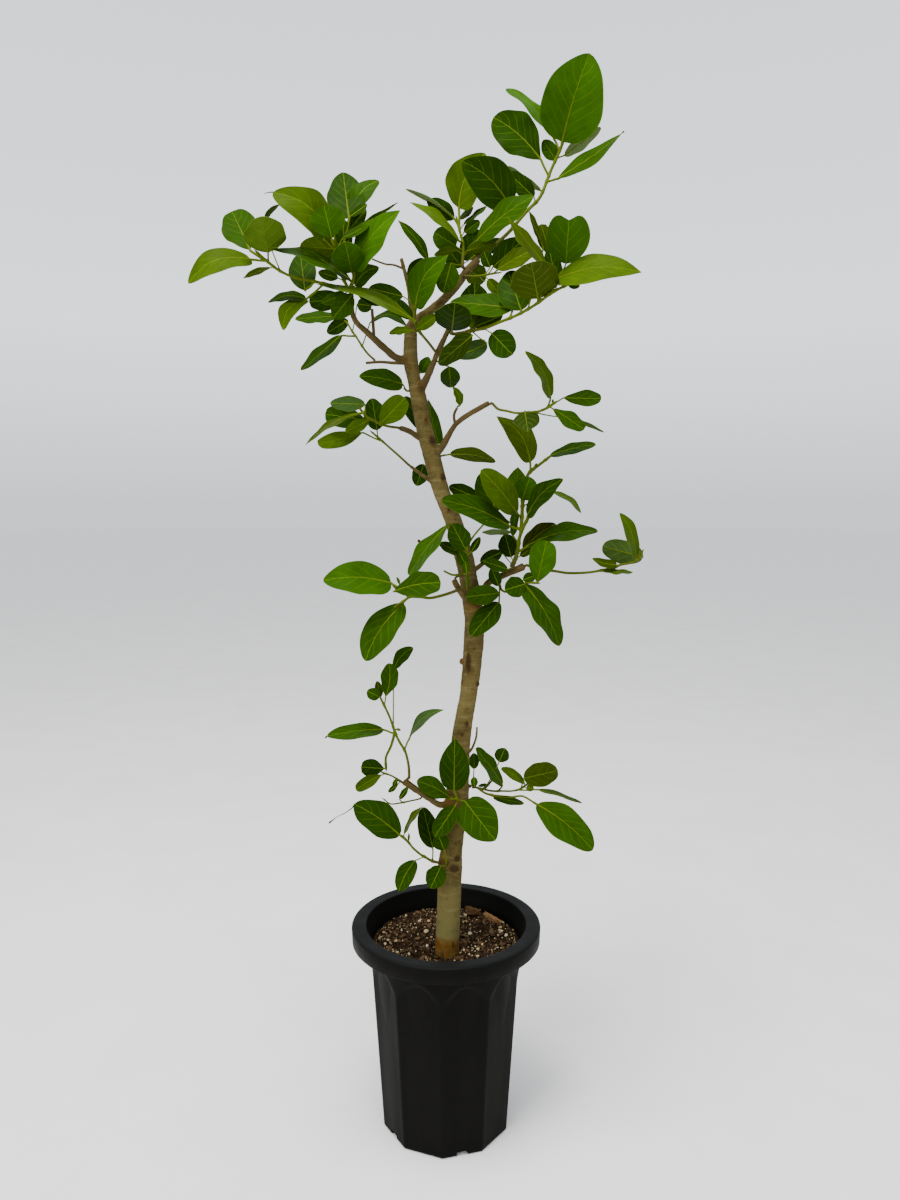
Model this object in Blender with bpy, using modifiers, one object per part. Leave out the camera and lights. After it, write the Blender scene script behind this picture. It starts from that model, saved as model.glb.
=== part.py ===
# Potted Indian banyan (Ficus benghalensis) in a black plastic nursery pot.
# Metres, +Z up. The origin is the middle of the pot's underside, and the front is seen along +Y.
# Leaves and branches are placed by where they are seen from the front: a place is (u, v, y), with u to the
# right and v down in a 900 by 1200 picture, and y the depth behind the pot's axis in millimetres.

import math
from collections import namedtuple

import bmesh
import bpy
from mathutils import Vector, noise
from mathutils.bvhtree import BVHTree

MM = 0.001
CLEAR = 0.3 * MM
WELD = 0.001 * MM
SAME_PLANE = math.radians(0.5)

# The viewpoint that the places are seen from
EYE = Vector((0.005, -1.101, 0.795))
PITCH_DOWN = math.radians(6.1)
FOCAL = 901.0
CENTRE_U = 450.0
CENTRE_V = 600.0

# The pot
POT_FACETS = 10
POT_STEPS = 40
POT_HEIGHT = 0.265
FLANGE_RADIUS = 0.120
OPENING_RADIUS = 0.1015
SKIRT_HEIGHT = 0.0205
SKIRT_DRAFT = 0.0006
RIM_ROUNDING = ((0.0, 0.0035), (0.0006, 0.0010), (0.0030, 0.0))
WALL = 0.0022
COLLAR_HEIGHT = 0.250
COLLAR_TAPER = 0.0015
NECK_RADIUS = 0.0975
NECK_HEIGHT = 0.240
INNER_NECK = 0.0948
FOOT_RADIUS = 0.082
FOOT_CHAMFER = 0.0015
INNER_FOOT = 0.0745
FLOOR = 0.003
BODY_SLOPE = (NECK_RADIUS - FOOT_RADIUS) / NECK_HEIGHT
BODY_HEIGHTS = (0.004, 0.070, 0.140, 0.198, 0.208, 0.216, 0.224, 0.232, NECK_HEIGHT)
FACET_TOP = 0.198
ARCH_RISE = 0.022
ARCH_BLEND = 0.010
FIRST_FACET = math.radians(-57.0)
NOTCHES = 5
NOTCH_WIDTH = 0.014
NOTCH_DEPTH = 0.010
NOTCH_HEIGHT = 0.0065
OVERSHOOT = 0.004
SHARP_PLASTIC = math.radians(14.0)

# The soil
SOIL_EDGE = 0.2385
SOIL_MOUND = 0.004
SOIL_LUMPS = 0.0016
SOIL_GRAIN = 70.0
SOIL_SEED = 0.7
SOIL_RINGS = 6
SOIL_STEPS = 40
HOLE_RADIUS = 15.8 * MM
HOLE_SIDES = 16
ABOVE_SOIL = 0.040
CHIP_ROUGHNESS = 0.3
CHIP_GRAIN = 3.0
CHIP_SEED = 40.0

# Wood. The foot goes into the soil: each pair is a depth below its place and a width.
TRUNK_FOOT = (447, 957, -38)
FOOT_PLACES = ((0.110, 24 * MM), (0.020, 30 * MM), (-0.002, 30 * MM))
ROOT_DEPTH = FOOT_PLACES[0][0]
TRUNK_SIDES = 8
BRANCH_SIDES = 6
TWIG_SIDES = 4
SLIM_WOOD = 5.5 * MM
SHARP_BARK = math.radians(50.0)
STEM_TAPER = 0.3

# Leaves
BLADE = 0.9 * MM
PETIOLE = 2.2 * MM
ROOT_SHARE = 0.25
NATURAL_RATIO = 1.9
BROADEST = 77 * MM
EDGE_ON = 4.0
LONGEST_RATIO = 1.75
LEAN_SLACK = 0.105
STEEPEST = math.radians(80.0)
FOLD = 0.22
ARCH = 0.05
STEM_END_SHARE = 0.06
PETIOLE_SLANT = 0.9
LOWEST_ROOT = 5 * MM
END_ON = 0.3
LONG_LEAF = 50 * MM
LONG_STATIONS = (0.0, 0.2, 0.52, 0.82, 1.0)
SHORT_LEAF = 30 * MM
STATIONS = (0.0, 0.28, 0.72, 1.0)
UPWARD = Vector((0.35, 0.0, 1.0))
ACROSS_VIEW = Vector((1.0, 0.0, 1.0))

Wood = namedtuple("Wood", "places")
Shoot = namedtuple("Shoot", "name stem stems leaves")
# A form: the power that moves the broadest place to the tip, how slowly the blade broadens at the foot and
# narrows at the tip, and how far its edges reach past the tip, as a share of the length
OVAL = (0.95, 0.56, 0.56, 0.0)
EGG = (0.78, 0.50, 0.62, 0.0)
SPOON = (1.25, 0.80, 0.50, 0.0)
BLUNT = (1.30, 0.75, 0.34, 0.0)
ROUND = (1.0, 0.42, 0.42, 0.0)
POINTED = (0.78, 0.52, 0.95, 0.0)
LANCE = (0.95, 0.80, 1.15, 0.0)
HEART = (1.05, 0.60, 0.40, 0.36)
# foot and tip: (u, v). seen: the width that faces the viewer, in mm. face: 1 shows the upper side and
# turns it to the sky, -1 shows it and turns it down, 2 and -2 show the underside likewise. back: mm from the
# stem away from the viewer. lean: how far the tip comes towards the viewer, from -1 to 1. bow: how far the
# middle is bent up, as a share of the length.
Leaf = namedtuple("Leaf", "foot tip seen face back lean bow form", defaults=(OVAL,))

TRUNK = (
    (449, 900, -37, 29.0), (450, 868, -36, 29.5), (452, 845, -35, 27.0), (455, 815, -34, 26.5),
    (457, 797, -33, 28.5), (459, 770, -32, 24.5), (461, 740, -30, 23.0), (464, 720, -29, 22.0),
    (467.5, 700, -27, 21.5), (470.5, 680, -25, 22.0), (472.5, 660, -23, 24.0), (473.8, 640, -21, 24.5),
    (474, 620, -19, 23.8), (472.5, 602, -17, 24.0), (468.5, 580, -15, 22.5), (464.8, 560, -13, 23.0),
    (459, 540, -12, 21.5), (453, 520, -11, 21.0), (444.6, 500, -10, 19.5), (438, 480, -9, 20.5),
    (431.5, 455, -8, 20.5), (424.5, 430, -7, 20.0), (419, 400, -5, 19.5), (414, 380, -4, 16.5),
    (410.8, 360, -3, 18.0), (410.5, 342, -2, 16.5), (412.0, 326, 0, 14.5), (420, 318, 2, 11.5),
    (431, 310, 4, 10.5), (445, 298, 6, 10.5), (457, 285, 8, 10.0), (468, 270, 10, 10.0), (478, 259, 12, 9.5),
)

BRANCHES = (
    # Upper left branch, its stub and the twig below it
    Wood(((406, 360, -3, 9.0), (395, 357, -10, 9.0), (384.5, 348, -19, 8.6), (374.5, 339, -28, 8.2),
          (364.5, 330, -37, 7.6), (356.5, 322.5, -45, 7.0), (352, 312, -52, 6.4), (352, 300, -58, 5.6))),
    Wood(((374, 338, -29, 3.8), (373, 322, -27, 3.8), (372, 309, -26, 3.6))),
    Wood(((407, 363, -3, 5.0), (395, 363, 3, 4.2), (380, 362, 8, 3.6), (366, 363, 12, 3.4))),
    # Upper right branch from the knot
    Wood(((417, 388, -4, 10.0), (422, 386, -12, 9.5), (430, 371, -18, 8.0), (437, 354, -24, 7.5),
          (444, 339, -30, 7.0), (450, 327, -36, 6.6))),
    # Stubs of the crown
    Wood(((445, 299, 6, 4.5), (446, 292, 4, 4.2), (445, 285, 3, 4.0))),
    Wood(((413, 324, 1, 7.0), (411, 305, 8, 6.0), (408, 285, 12, 5.5), (404, 269, 14, 5.0),
          (401, 258, 15, 4.8))),
    Wood(((404, 269, 14, 3.0), (394, 265, 14, 2.6), (385, 264, 15, 2.4), (372, 259, 15, 2.2))),
    # Long right branch and its stub
    Wood(((435, 456, -8, 8.5), (442, 447, -13, 8.0), (450, 433, -19, 7.2), (456, 424, -24, 7.0),
          (466, 416, -31, 6.6), (478, 409, -38, 6.2), (489, 403, -45, 6.4))),
    Wood(((455, 424, -23, 3.4), (454, 415, -23, 3.4), (457, 408, -22, 3.2))),
    # Left stubs of the middle
    Wood(((425, 441, -7, 8.0), (417, 436, -18, 7.6), (409, 431, -28, 7.2), (400, 428, -38, 7.0))),
    Wood(((436, 484, -9, 6.5), (428, 479, -16, 5.6), (418, 472, -20, 5.0), (410, 466, -24, 4.6))),
    # The stub that stands to the left of the lower joint
    Wood(((472, 607, -19, 9.0), (465, 598, -31, 8.2), (458, 588, -37, 7.8), (454, 580, -41, 7.6))),
    # Right branch of the lower joint
    Wood(((474, 606, -17, 10.0), (482, 595, -8, 9.0), (488, 583, -5, 9.0), (497, 578, -6, 9.0),
          (508, 573, -9, 9.0), (516, 570, -12, 9.4), (524, 566, -15, 9.4))),
    Wood(((469, 573, -14, 7.5), (477, 568, -6, 6.4), (485, 562, -1, 5.6))),
    # Knob at the left of the trunk
    Wood(((468, 664, -25, 9.0), (461, 661, -34, 8.0))),
    # Lower left branch, the seat of the lower right shoot, a dry twig and the lowest knot
    Wood(((457, 806, -34, 11.0), (448, 804, -45, 9.4), (440, 805, -49, 8.4), (430, 799, -53, 7.8),
          (421, 793, -56, 7.6), (412, 787, -59, 8.4), (404, 781, -61, 10.0))),
    Wood(((460, 791, -32, 8.0), (468, 786, -28, 5.0), (472, 786, -27, 4.0))),
    Wood(((463, 757, -31, 4.0), (471, 750, -28, 3.2), (476, 738, -25, 2.8), (477, 727, -23, 2.2))),
    Wood(((448, 864, -37, 13.0), (441, 860, -47, 10.0))),
)

SHOOTS = (
    Shoot("shoot_top_left", 3.4,
          (((352, 299, -59), (349, 290, -61), (340, 287, -63), (326, 284, -67), (312, 281, -70),
            (296, 278, -74), (280, 271, -78), (268, 262, -81), (259, 254, -84)),
           ((349, 290, -61), (342, 276, -72), (337, 262, -82), (335, 241, -96)),
           ((349, 290, -61), (353, 281, -64), (354, 271, -67))),
          (Leaf((251, 259), (188, 283), 24, 1, -4, 0.4, 0.16, EGG),
           Leaf((250, 250), (232, 211), 40, 1, 0, -1, 0, BLUNT),
           Leaf((268, 252), (262, 216), 45, 2, 0, 0.8, 0),
           Leaf((271, 267), (243, 278), 7, 2, 8, 0, 0.04, LANCE),
           Leaf((264, 226), (280, 204), 6, 2, 16, 0, 0.14, LANCE),
           Leaf((305, 290), (300, 253), 31, 1, 6, -1, 0),
           Leaf((306, 298), (268, 302), 10, 1, 0, 0, 0.11, EGG),
           Leaf((306, 299), (283, 330), 18, 1, -4, 0.6, 0.19, EGG),
           Leaf((346, 298), (309, 302), 23, 1, 14, 0, 0, BLUNT),
           Leaf((331, 239), (273, 192), 37, 1, 6, 0.2, 0.155),
           Leaf((349, 218), (343, 172), 43, 1, 8, -1, 0, EGG),
           Leaf((352, 215), (378, 180), 22, 1, 22, -0.6, 0.13),
           Leaf((350, 216), (367, 204), 8, 1, 0, 0, 0),
           Leaf((350, 229), (366, 209), 14, 1, 12, 0, 0),
           Leaf((353, 231), (398, 202), 5, 2, 4, 0, 0, LANCE),
           Leaf((332, 239), (324, 206), 38, 1, -4, 0.5, 0, SPOON),
           Leaf((325, 240), (308, 224), 10, 2, -4, 0, 0),
           Leaf((342, 250), (300, 246), 26, 2, 8, 0, 0),
           Leaf((325, 258), (300, 247), 12, 1, 14, 0, 0),
           Leaf((354, 268), (400, 210), 29, 1, -6, 0.7, 0.08, POINTED),
           Leaf((352, 273), (345, 242), 35, 1, -8, 0.8, 0),
           Leaf((352, 281), (270, 249), 15, 1, -8, 0.2, 0.105, LANCE),
           Leaf((338, 278), (318, 272), 12, 1, 0, 0, 0),
           Leaf((355, 286), (379, 267), 19, 1, 8, 0, 0.14, EGG),
           Leaf((345, 293), (322, 303), 12, 1, -4, 0, 0),
           Leaf((343, 237), (372, 220), 9, 1, 6, 0, -0.04),
           Leaf((344, 252), (343, 219), 20, 1, 12, 0, 0),
           Leaf((352, 295), (333, 318), 24, 1, -6, 0, 0),
           Leaf((356, 289), (385, 304), 16, 1, -4, 0, 0))),
    Shoot("shoot_upper_left", 2.8,
          (((374, 362, 10), (368, 354, 17), (362, 346, 25), (357, 338, 32), (352, 331, 38), (347, 323, 45),
            (340, 317, 52)),),
          (Leaf((338, 316), (295, 319), 14, 1, 0, 0.3, 0.01),
           Leaf((348, 320), (327, 333), 18, 1, 4, 0, 0),
           Leaf((341, 335), (301, 370), 15, 1, 0, 0.4, 0),
           Leaf((370, 322), (407, 326), 10, 1, 0, 0, 0.26),
           Leaf((357, 304), (372, 306), 18, 1, 4, 0, 0, ROUND))),
    Shoot("leaf_on_trunk_left", 2.4,
          (((408, 391, -6), (404, 388, -8)),),
          (Leaf((403, 384), (359, 376), 23, 1, 0, 0.6, 0.04, EGG),)),
    Shoot("shoot_top_centre", 3.2,
          (((437, 352, -27), (428, 342, -30), (419, 331, -33), (415, 322, -35), (415, 312, -38),
            (411, 298, -41), (409, 284, -44)),),
          (Leaf((415, 307), (448, 255), 33, 1, -6, 0.7, 0.14, POINTED),
           Leaf((414, 320), (317, 284), 12, 1, -48, 0, 0.075, LANCE),
           Leaf((417, 329), (437, 315), 14, 1, -6, 0, 0),
           Leaf((412, 330), (389, 333), 9, 1, -6, 0, 0.06),
           Leaf((429, 261), (398, 220), 13, 1, 0, 0.3, 0.06, LANCE),
           Leaf((409, 278), (425, 259), 19, 1, 8, -0.4, 0),
           Leaf((403, 296), (369, 288), 18, 1, 0, 0.5, 0),
           Leaf((412, 319), (393, 299), 16, 1, 4, 0, 0))),
    Shoot("leaf_on_branch", 1.8,
          (((436, 361, -21), (440, 362, -24)),),
          (Leaf((449, 367), (451, 388), 24, 1, 0, -1, 0),)),
    Shoot("shoot_right_long", 3.6,
          (((451, 333, -35), (460, 333, -39), (470, 331, -44), (485, 328, -50), (500, 322, -58),
            (515, 316, -65), (530, 308, -72), (542, 300, -79), (553, 292, -85), (567, 285, -92)),),
          (Leaf((521, 310), (508, 271), 40, 1, 8, -0.8, 0),
           Leaf((538, 298), (531, 262), 53, 2, 0, 0.8, 0, ROUND),
           Leaf((566, 264), (569, 220), 47, 1, 0, 0.6, 0, HEART),
           Leaf((556, 279), (641.5, 272), 29, 1, 0, 0.5, 0.095, POINTED),
           Leaf((568, 284), (580, 286), 9, 1, 0, 0, 0),
           Leaf((551, 257), (541, 224), 18, 1, 22, 0, 0, BLUNT),
           Leaf((548, 268), (508, 217), 14, 1, -8, 0, 0, LANCE),
           Leaf((544, 247), (529, 210), 7, 2, 6, 0, 0, LANCE),
           Leaf((491.5, 333), (512.4, 354.7), 30, 1, 0, 0.6, 0, ROUND),
           Leaf((475, 327), (503, 315), 15, -1, 12, 0, 0),
           Leaf((471, 329), (480, 308), 16, 2, 10, 0, 0),
           Leaf((452, 331), (455, 303), 42, 1, -8, 1, 0),
           Leaf((513, 308), (450, 302), 25, 1, 12, -0.3, 0.01),
           Leaf((472, 335), (438, 364), 23, 2, -12, 0.4, 0),
           Leaf((487, 343), (453, 356), 20, 1, 6, 0, -0.04, EGG),
           Leaf((474, 322), (475, 283), 36, 1, 24, 0, 0),
           Leaf((557, 284), (549, 248), 20, 1, 14, 0, 0))),
    Shoot("shoot_top_middle", 3.2,
          (((464, 268, 6), (463, 256, 11), (463, 245, 15), (460, 232, 21), (457, 220, 26)),),
          (Leaf((453, 216), (406, 189), 5, 2, 0, 0, 0.04),
           Leaf((454, 219), (427, 200), 20, 1, 8, 0, 0.05),
           Leaf((460, 241), (410, 202), 11, 1, -10, 0.3, 0.085, LANCE),
           Leaf((456, 246), (434, 232), 27, 1, 9, 0, 0, ROUND),
           Leaf((459, 208), (485, 153), 44, 1, 5, -0.3, 0.11, EGG),
           Leaf((478, 239), (533, 196), 26, 1, -8.6, 0.6, 0.045),
           Leaf((460, 219), (473, 207), 8, 2, 8, 0, 0),
           Leaf((463.5, 224), (486, 206), 6, 1, 14, 0, 0),
           Leaf((464, 232), (480, 221), 14, 1, 8, 0, 0),
           Leaf((457, 249.5), (434, 255), 9, 2, -2, 0, 0.05),
           Leaf((467, 250.5), (496, 243), 17, 2, -8, 0, 0),
           Leaf((478, 252), (505, 240), 16, 1, 20, 0, 0),
           Leaf((451, 263), (443, 293), 28, 1, -16, 0, 0),
           Leaf((463, 260), (480, 230), 27, 1, 24, 0, 0),
           Leaf((462, 267), (445, 246), 23, 1, 24, 0, 0))),
    Shoot("shoot_top_right", 4.4,
          (((478, 258, 12), (487, 251, 16), (495, 245, 20), (510, 231, 28), (520, 219, 34), (528, 210, 38),
            (538, 200, 43), (543, 191, 47), (548, 178, 53), (552, 168, 57), (557, 157, 61), (562, 145, 66)),),
          (Leaf((562, 142), (589.5, 53), 76, 1, 0, 0.5, -0.02, EGG),
           Leaf((541, 160), (493.5, 117), 48, 1, 0, -0.7, 0.05, SPOON),
           Leaf((556, 141), (509, 88), 15, 1, 10, -0.2, 0.07, BLUNT),
           Leaf((564, 155), (601, 128), 16, 2, 18, 0, 0),
           Leaf((558, 178), (622, 133), 17, 1, -8, 0.2, -0.02, LANCE),
           Leaf((556, 160), (543, 140), 19, 1, 12, 0, 0),
           Leaf((541, 190), (508, 166), 9, 2, 6, 0, -0.03, EGG),
           Leaf((510, 206), (462.5, 161), 49, 1, -10, 0.6, 0.085, EGG),
           Leaf((534, 197), (508, 172), 22, 1, -2, 0, 0))),
    Shoot("shoot_right_twig", 2.4,
          (((465, 276, 0), (480, 276, -7), (490, 274, -11), (497, 273, -14)),),
          (Leaf((493, 267), (524, 239), 30, 1, 0, 0, 0),
           Leaf((490, 267), (484, 252), 16, 1, 4, 0, 0),
           Leaf((498, 269), (540, 247), 19, 1, -14, 0.3, 0.03),
           Leaf((488, 279), (499, 294), 14, 1, -4, 0, 0),
           Leaf((485, 281), (467, 268), 26, 1, 36, 0, 0, ROUND))),
    Shoot("shoot_right", 3.0,
          (((490, 404, -46), (498, 409, -50), (507, 411, -54), (517, 413, -59), (535, 412, -67),
            (545, 409, -72), (553, 404, -76)),),
          (Leaf((551, 397.5), (525.4, 351), 15, 1, 0, 0.2, 0.11, EGG),
           Leaf((563, 397.5), (601.3, 398.5), 17.5, 1, 0, 0.3, 0, BLUNT),
           Leaf((552.5, 408), (584, 429.5), 17, 1, -2, 0.4, 0.01, BLUNT),
           Leaf((572, 417), (604, 432), 4, 2, 12, 0, 0),
           Leaf((525, 412), (528, 432), 30, 2, 0, 1, 0, POINTED),
           Leaf((553, 404), (553, 399), 2.5, 1, 0, 0, 0))),
    Shoot("leaf_on_stub", 1.8,
          (((457.5, 407, -23), (459, 406, -25)),),
          (Leaf((461, 405), (452.5, 386), 10, 1, 0, 0.3, 0.09, POINTED),)),
    Shoot("leaf_on_trunk_right", 2.2,
          (((441, 456, -10), (446, 455, -10)),),
          (Leaf((450, 454), (495.8, 461.2), 16, 2, 0, 0.2, 0.07),)),
    Shoot("shoot_middle_left", 3.0,
          (((399, 428, -39), (392, 427, -45), (383, 425, -52), (375, 421, -59), (367, 417, -67),
            (361, 410, -74)),),
          (Leaf((365, 404), (330, 403), 17, 1, 4, 0, 0),
           Leaf((379, 425), (405, 398), 27, 1, -2, 0.5, 0, BLUNT),
           Leaf((366, 420), (325, 414), 26, 1, 6, -0.2, 0, BLUNT),
           Leaf((363, 412), (305, 445), 7, 1, -14, 0.2, 0.085, LANCE),
           Leaf((369, 420), (345, 432), 14, 1, 2, 0, 0))),
    Shoot("shoot_middle_left_low", 2.8,
          (((409, 465, -25), (398, 455, -28), (390, 448, -30), (381, 440, -32), (374, 434, -34)),),
          (Leaf((363, 432), (318, 444.5), 18, 1, -6, 0.5, -0.01, BLUNT),
           Leaf((377, 430), (372, 398), 26, 1, 17, -0.6, 0))),
    Shoot("leaf_behind_twig", 1.8,
          (((429, 470, 0), (426, 467, 4)),),
          (Leaf((423.5, 464), (416.5, 486), 20, 1, 2.5, 0, 0),)),
    Shoot("shoot_behind_trunk", 2.4,
          (((433, 449, 4), (433, 446, 11), (430, 436, 34)),),
          (Leaf((439, 444), (428.5, 399), 18, 1, 9, -0.2, -0.02, POINTED),
           Leaf((424, 431), (405, 396), 20, 1, 0, 0, 0))),
    Shoot("leaf_on_trunk_top", 2.0,
          (((418, 372, 2), (420, 373, 7)),),
          (Leaf((421, 373), (429, 357), 15, 1, 2, 0, 0),)),
    Shoot("shoot_centre", 4.4,
          (((514, 568, -14), (515, 560, -17), (518, 549, -21), (519, 540, -25), (521, 533, -28),
            (524, 526, -31), (528, 518, -34)),
           ((521, 533, -28), (522, 515, -13), (523, 498, 2), (526, 480, 17), (530, 472, 25), (539, 465, 34),
            (548, 458, 44))),
          (Leaf((530.5, 462), (496.5, 416), 30, 1, 0, -0.3, 0.14, POINTED),
           Leaf((549.5, 455.6), (596, 444), 13.5, 1, 0, 0.2, 0.035),
           Leaf((534, 467), (537, 463), 2.5, 1, 0, 0, 0),
           Leaf((478, 498), (449, 486), 19, 1, 26, 0, 0),
           Leaf((497, 512), (480, 473.5), 31, 1, 14, -0.6, 0),
           Leaf((517, 513), (481, 470), 32, 1, -10, 0.7, 0.03),
           Leaf((516, 492), (518, 467), 24, 2, 14, 0, 0, POINTED),
           Leaf((522, 500), (530, 477), 30, 1, -2, 0.6, 0),
           Leaf((527, 515.5), (563, 479), 21, 1, -6, 0.6, 0.10, EGG),
           Leaf((551.5, 491.5), (581.3, 512.5), 7, 1, 10, 0, 0.12),
           Leaf((510, 526), (441.3, 500), 27, 1, -8, 0.5, 0.055),
           Leaf((513, 536), (516, 508), 10, 1, -2, 0, 0),
           Leaf((511, 532), (482, 532), 7, 2, 8, 0, 0),
           Leaf((511, 557), (505, 534), 24, 1, 4, -0.6, 0),
           Leaf((502, 552), (480, 562), 17, 1, 5, 0, 0),
           Leaf((523, 549), (556, 524), 22, -1, 4, 0, 0.05),
           Leaf((528, 545), (598, 531), 20, 1, 0, 0.4, 0.085),
           Leaf((520, 556), (531, 549), 10, 1, 4, 0, 0),
           Leaf((508, 569), (483, 561), 14, 1, -20, 0.3, 0))),
    Shoot("shoot_lower_centre", 2.8,
          (((499, 583, -10), (501, 589, -17), (506, 592, -23), (513, 589, -31), (520, 585, -39),
            (528, 583, -48), (536, 583, -56)),),
          (Leaf((537, 583), (546.5, 541), 32, 1, -4, 0.8, 0, BLUNT),
           Leaf((524.5, 584), (559.5, 646), 29, 1, -4, 0.6, 0.06),
           Leaf((499, 593), (466, 597), 24, 1, -14, 0.6, 0),
           Leaf((499, 602), (471, 636), 27, 1, -12, 0.8, 0),
           Leaf((499, 586), (491, 568), 15, 1, -8, 0, 0),
           Leaf((525, 584), (505, 590), 25, 1, -14, 0.6, 0),
           Leaf((523, 580), (536, 575), 13, 1, 0, 0, 0))),
    Shoot("shoot_on_stub", 2.6,
          (((456, 580, -44), (461, 574, -46), (466, 568, -48), (467, 558, -51), (467, 548, -54),
            (471, 540, -56), (476, 533, -59), (484, 524, -62)),
           ((461, 574, -46), (453, 575, -52), (444, 571, -60))),
          (Leaf((449.3, 523.3), (409, 575.5), 19, 1, -4, 0.2, 0.05, SPOON),
           Leaf((466, 550), (452, 524), 26, 1, 0, 0.5, 0),
           Leaf((462, 553), (439, 543), 13, 1, 3, 0, 0),
           Leaf((471, 552), (480, 537), 9, 1, -2, 0, 0),
           Leaf((466, 566), (459, 551), 14, 1, -4, 0, 0),
           Leaf((467, 573), (465, 561), 10, 1, -8, 0, 0),
           Leaf((467, 571), (468, 590), 3.5, 1, -2, 0, 0))),
    Shoot("shoot_lower_left", 3.6,
          (((456, 590, -43), (450, 593, -48), (440, 596, -57), (430, 598, -65), (420, 597, -73),
            (410, 597, -81), (404, 601, -86), (398, 605, -92)),
           ((410, 597, -81), (400, 590, -85), (393, 585, -88))),
          (Leaf((391.5, 583), (323, 580.2), 37, 1, 0, 0.5, 0.065, EGG),
           Leaf((393.3, 591.3), (440.7, 582.7), 28, 1, -14, 0.5, 0.05, BLUNT),
           Leaf((403, 603.5), (365, 660.7), 35, 1, 0, 0.6, 0.07),
           Leaf((400, 584), (397, 577), 3, 1, 0, 0, 0))),
    Shoot("shoot_far_right", 3.2,
          (((525, 566, -16), (535, 568, -20), (545, 570, -24), (554, 571, -28), (567, 573, -33),
            (580, 573, -38), (592, 572, -43), (603, 570, -47), (613, 568, -51), (620, 565, -54),
            (630, 563, -58), (637, 560, -61), (641, 554, -64)),),
          (Leaf((636.5, 558), (620, 513), 14, 1, -8, 0.3, 0.08, EGG),
           Leaf((643, 557), (602.2, 546.5), 28, 2, 10, 0, 0, ROUND),
           Leaf((617, 564.5), (592.3, 558.3), 10, 1, 0, 0, -0.06, EGG),
           Leaf((603, 571), (633, 572), 6, 1, -6, 0, 0.01))),
    Shoot("shoot_low_left", 3.2,
          (((410, 777, -64), (409, 770, -67), (408, 762, -70), (405, 751, -74), (399, 741, -79),
            (395, 732, -83), (390, 718, -89), (386, 709, -92), (382, 701, -96)),
           ((395, 732, -83), (391, 746, -75), (386, 757, -69), (386, 767, -64))),
          (Leaf((393.5, 668.4), (412.7, 647.2), 15, 1, 6, 0, 0.09),
           Leaf((385.8, 697.3), (389.5, 663.3), 20, 1, -4, 0.3, 0.055, SPOON),
           Leaf((380, 697), (367, 691), 15, 1, 2, 0.3, 0),
           Leaf((381, 697), (377, 681), 9, 1, 4, 0, 0),
           Leaf((383.3, 729), (327, 736), 18, 1, 0, 0.4, 0.03),
           Leaf((408.5, 739), (444, 709.5), 11.5, 1, 0, 0.2, 0.15, LANCE),
           Leaf((384.8, 768.7), (361, 767), 21, 1, 0, 0.4, 0, BLUNT),
           Leaf((396, 729), (401, 730), 3, 1, 0, 0, 0))),
    Shoot("shoot_branch_end", 2.4,
          (((399, 780, -64), (392, 776, -71), (384, 773, -78)),),
          (Leaf((382.2, 774.3), (355.8, 789.8), 14, 1, -4, 0.4, 0.03, BLUNT),
           Leaf((397, 785), (388, 792), 6, 1, -6, 0, 0),
           Leaf((397, 779), (393, 787), 6, 1, -3, 0, 0))),
    Shoot("twig_low_left", 2.0,
          (((421, 798, -56), (410, 801, -58), (400, 803, -60), (391, 804, -60), (386, 801, -60)),),
          (Leaf((399, 799), (408, 787), 7, 1, -10, 0, 0),)),
    Shoot("shoot_low_front", 3.6,
          (((457, 799, -48), (456, 798, -56)),),
          (Leaf((454, 790.5), (454.7, 738), 37, 1, 0, 0.5, 0, POINTED),
           Leaf((451, 798), (417, 781), 22, 1, -4, 0.6, 0.05, SPOON),
           Leaf((441, 797), (420, 787), 12, 1, -7, 0, 0),
           Leaf((464.8, 801), (495.3, 840.7), 45, 1, -4, 0.6, 0, EGG),
           Leaf((455, 806), (434.5, 837), 24, 1, -7, 0.6, 0))),
    Shoot("shoot_low_right", 2.8,
          (((473, 787, -27), (478, 788, -23), (483, 789, -19), (492, 791, -11), (502, 791, -3),
            (512, 791, 5), (520, 789, 12), (526, 785, 18)),
           ((478, 788, -23), (485, 793, -26), (492, 795, -28), (500, 796, -31), (512, 797, -35),
            (522, 796, -39), (530, 800, -42), (536, 804, -44)),
           ((483, 789, -19), (488, 785, -8), (493, 779, 6))),
          (Leaf((503, 785), (476, 748), 17, 1, 0, 0.3, 0.02),
           Leaf((499, 762), (505, 748), 19, 1, 6, -0.5, 0),
           Leaf((525, 783), (501, 768), 12, 1, 4, 0, 0.05),
           Leaf((524, 778.3), (558, 770.5), 31, 1, 2, -0.5, 0, ROUND),
           Leaf((526, 788), (534, 788), 9, 1, -4, 0, 0),
           Leaf((493, 797), (524, 804), 10, -1, 2, 0, 0),
           Leaf((537, 804), (593, 850), 38, 1, 0, 0.6, 0.05),
           Leaf((538, 789), (582, 803), 6, 2, 4, 0, 0.03),
           Leaf((487, 784), (478, 786), 4, 1, 4, 0, 0),
           Leaf((474, 769), (474, 753), 13, 1, 12, 0, 0),
           Leaf((474, 777), (474.5, 787), 9, 1, -24, 0, 0))),
    Shoot("shoot_lowest_left", 3.2,
          (((437, 863, -53), (432, 861, -58), (425, 857, -65), (420, 854, -70), (413, 848, -79),
            (409, 843, -84), (403, 837, -92)),),
          (Leaf((400, 835.3), (354.5, 804), 37, 1, 0, 0.5, 0.035),
           Leaf((403.5, 834), (422, 806), 7, 1, 6, 0, 0.06, LANCE),
           Leaf((415, 860.3), (398.5, 891.3), 22, 1, 0, 0.5, 0.055),
           Leaf((433, 848), (423, 807), 25, 1, 8, -0.4, 0),
           Leaf((409, 841), (409, 833), 2.5, 1, -2, 0, 0))),
    Shoot("leaves_on_knot", 2.4,
          (((446, 865, -51), (446, 859, -56), (445, 853, -58)),),
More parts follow.
